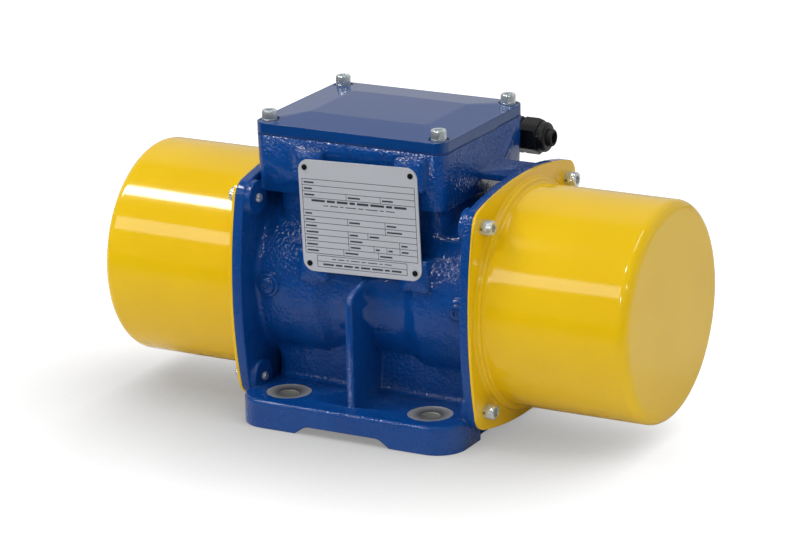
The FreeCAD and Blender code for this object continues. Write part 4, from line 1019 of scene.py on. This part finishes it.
@dataclass
class Studio:
    """A plain pale floor in a white room, soft lamps and the camera, in metres and degrees.

    The left strip draws the bright streak on the left cover, and the glint at its place counts in gloss alone.
    The front box draws the paler band on both covers. The sparks light up the cast grain and the screws, and
    the fills lift the shadows.
    """

    azimuth: float = 28.49
    elevation: float = 17.29
    roll: float = -1.23
    distance: float = 2.37157
    lens_mm: float = 160.94
    sensor_mm: float = 36.0
    far_end: float = 50.0
    aim: tuple[float, float, float] = (-0.00535, 0.0, 0.0910)
    lamps: tuple[SoftBox, ...] = (
        SoftBox("left_strip", (-0.6, -0.29, 0.77), (0.85, 0.34), 18.0, distance=2.2),
        SoftBox("left_glint", (-0.6, -0.29, 0.77), (0.85, 0.34), 27.0, distance=2.2, is_lighting=False),
        SoftBox("top_strip", (0.12, -0.05, 1.0), (0.22, 0.9), 6.0, distance=2.2),
        SoftBox("high_spark", (-0.15, -0.55, 0.8), (0.18, 0.18), 5.0, distance=2.3),
        SoftBox("low_spark", (0.05, -0.88, 0.42), (0.18, 0.18), 4.5, distance=2.3),
        SoftBox("right_spark", (0.6, -0.6, 0.5), (0.18, 0.18), 3.0, distance=2.3),
        SoftBox("front_box", (-0.455, -0.75, 0.477), (1.2, 0.5), 5.5),
        SoftBox("front_fill", (0.15, -0.93, 0.33), (2.0, 1.2), 3.0, is_mirrored=False),
        SoftBox("right_fill", (0.93, -0.2, 0.3), (1.6, 1.6), 9.5, is_mirrored=False),
        SoftBox("overhead_fill", (0.1, 0.1, 1.0), (1.6, 1.6), 5.0, is_mirrored=False))
    floor_half: float = 12.0
    paper: float = 0.86
    dark_front_y: float = -0.5
    pale_back_y: float = 0.06
    # The floor's painted shadow: how far it reaches and the way its normal leans.
    shadow_reach: float = 0.2
    shadow_way: tuple[float, float, float] = (0.32, 0.78, 0.54)
    floor_gain: float = 1.3
    glow_share: float = 0.85
    front_light: float = 0.18
    back_light: float = 0.6
    light_lean: float = -0.38  # how far the room's bright half leans back from upright
    light_turn: tuple[float, float] = (-0.08, 0.1)  # where its dim half ends and its bright half starts

    def build(self) -> None:
        """Make the camera, the floor, the room and the lamps."""
        self.camera()
        self.floor()
        self.room()
        for lamp in self.lamps:
            lamp.hang(Vector(self.aim))

    def camera(self) -> None:
        """Place the camera by its angles round the point it looks at."""
        azimuth, elevation, roll = (math.radians(a) for a in (self.azimuth, self.elevation, self.roll))
        back = Vector((math.sin(azimuth) * math.cos(elevation), -math.cos(azimuth) * math.cos(elevation),
                       math.sin(elevation)))
        turn = back.to_track_quat("Z", "Y").to_matrix() @ Matrix.Rotation(roll, 3, "Z")
        data = bpy.data.cameras.new("camera")
        data.lens = self.lens_mm
        data.sensor_width = self.sensor_mm
        data.clip_end = self.far_end
        camera = bpy.data.objects.new("camera", data)
        camera.matrix_world = Matrix.Translation(Vector(self.aim) + back * self.distance) @ turn.to_4x4()
        bpy.context.scene.collection.objects.link(camera)
        bpy.context.scene.camera = camera

    def floor(self) -> None:
        """Lay a white paper floor that glows a little past white, with the motor's shadow mostly painted on it
        and partly cast by the lamps.

        In the motor's own gloss the paper is painted dark in front and pale behind, a painted reflection of a
        narrow light.
        """
        material, tree = new_material("white_paper_sweep")
        rays = add_node(tree, "ShaderNodeLightPath")
        place = add_node(tree, "ShaderNodeTexCoord").outputs["Object"]
        depth = add_node(tree, "ShaderNodeSeparateXYZ", {0: place}).outputs["Y"]
        # Painted reflection: in gloss alone the paper goes dark in front and pale behind.
        mirrored = add_node(tree, "ShaderNodeMapRange",
                            {"Value": depth, "From Min": self.dark_front_y, "From Max": self.pale_back_y,
                             "To Min": 0.0, "To Max": self.paper})
        tone = add_node(tree, "ShaderNodeMix",
                        {"Factor": rays.outputs["Is Glossy Ray"], "A": self.paper, "B": mirrored.outputs[0]})
        paper = add_node(tree, "ShaderNodeBsdfDiffuse", {"Color": tone.outputs[0]})
        # Painted shadow: ambient occlusion, its normal leant back and to the right, dims the floor's glow, so
        # the shadow falls in front and to the left.
        lean = add_node(tree, "ShaderNodeCombineXYZ", dict(enumerate(self.shadow_way)))
        shade = add_node(tree, "ShaderNodeAmbientOcclusion",
                         {"Distance": self.shadow_reach, "Normal": lean.outputs[0]}, samples=24)
        white = add_node(tree, "ShaderNodeMath", {0: shade.outputs["AO"], 1: self.floor_gain},
                         operation="MULTIPLY")
        painted_shadow_glow = add_node(tree, "ShaderNodeEmission", {"Strength": white.outputs[0]})
        share = add_node(tree, "ShaderNodeMath", {0: rays.outputs["Is Camera Ray"], 1: self.glow_share},
                         operation="MULTIPLY")
        mix = add_node(tree, "ShaderNodeMixShader",
                       {0: share.outputs[0], 1: paper.outputs[0], 2: painted_shadow_glow.outputs[0]})
        add_node(tree, "ShaderNodeOutputMaterial", {"Surface": mix.outputs[0]})
        shape = bmesh.new()
        bmesh.ops.create_grid(shape, x_segments=1, y_segments=1, size=self.floor_half)
        object_from(shape, "floor", material)

    def room(self) -> None:
        """Light the motor from a pale room, dimmer in front, that the camera itself sees as white."""
        world = bpy.data.worlds.new("room")
        world.use_nodes = True
        tree = world.node_tree
        tree.nodes.clear()
        rays = add_node(tree, "ShaderNodeLightPath")
        way = add_node(tree, "ShaderNodeTexCoord").outputs["Generated"]
        split = add_node(tree, "ShaderNodeSeparateXYZ", {0: way})
        lean = add_node(tree, "ShaderNodeMath",
                        {0: split.outputs["Z"], 1: self.light_lean, 2: split.outputs["Y"]},
                        operation="MULTIPLY_ADD")
        light = add_node(tree, "ShaderNodeMapRange",
                         {"Value": lean.outputs[0], "From Min": self.light_turn[0],
                          "From Max": self.light_turn[1], "To Min": self.front_light,
                          "To Max": self.back_light})
        strength = add_node(tree, "ShaderNodeMix",
                            {"Factor": rays.outputs["Is Camera Ray"], "A": light.outputs[0], "B": 1.0})
        sky = add_node(tree, "ShaderNodeBackground",
                       {"Color": (1.0, 1.0, 1.0, 1.0), "Strength": strength.outputs[0]})
        add_node(tree, "ShaderNodeOutputWorld", {"Surface": sky.outputs[0]})
        bpy.context.scene.world = world


def main() -> None:
    """Build the scene."""
    logging.basicConfig(level=logging.INFO, format="%(message)s")
    bpy.context.scene.view_settings.view_transform = "Standard"
    Studio().build()
    Hardware().build()
    Casting().build()
    WeightCovers().build()


if __name__ == "__main__":
    main()
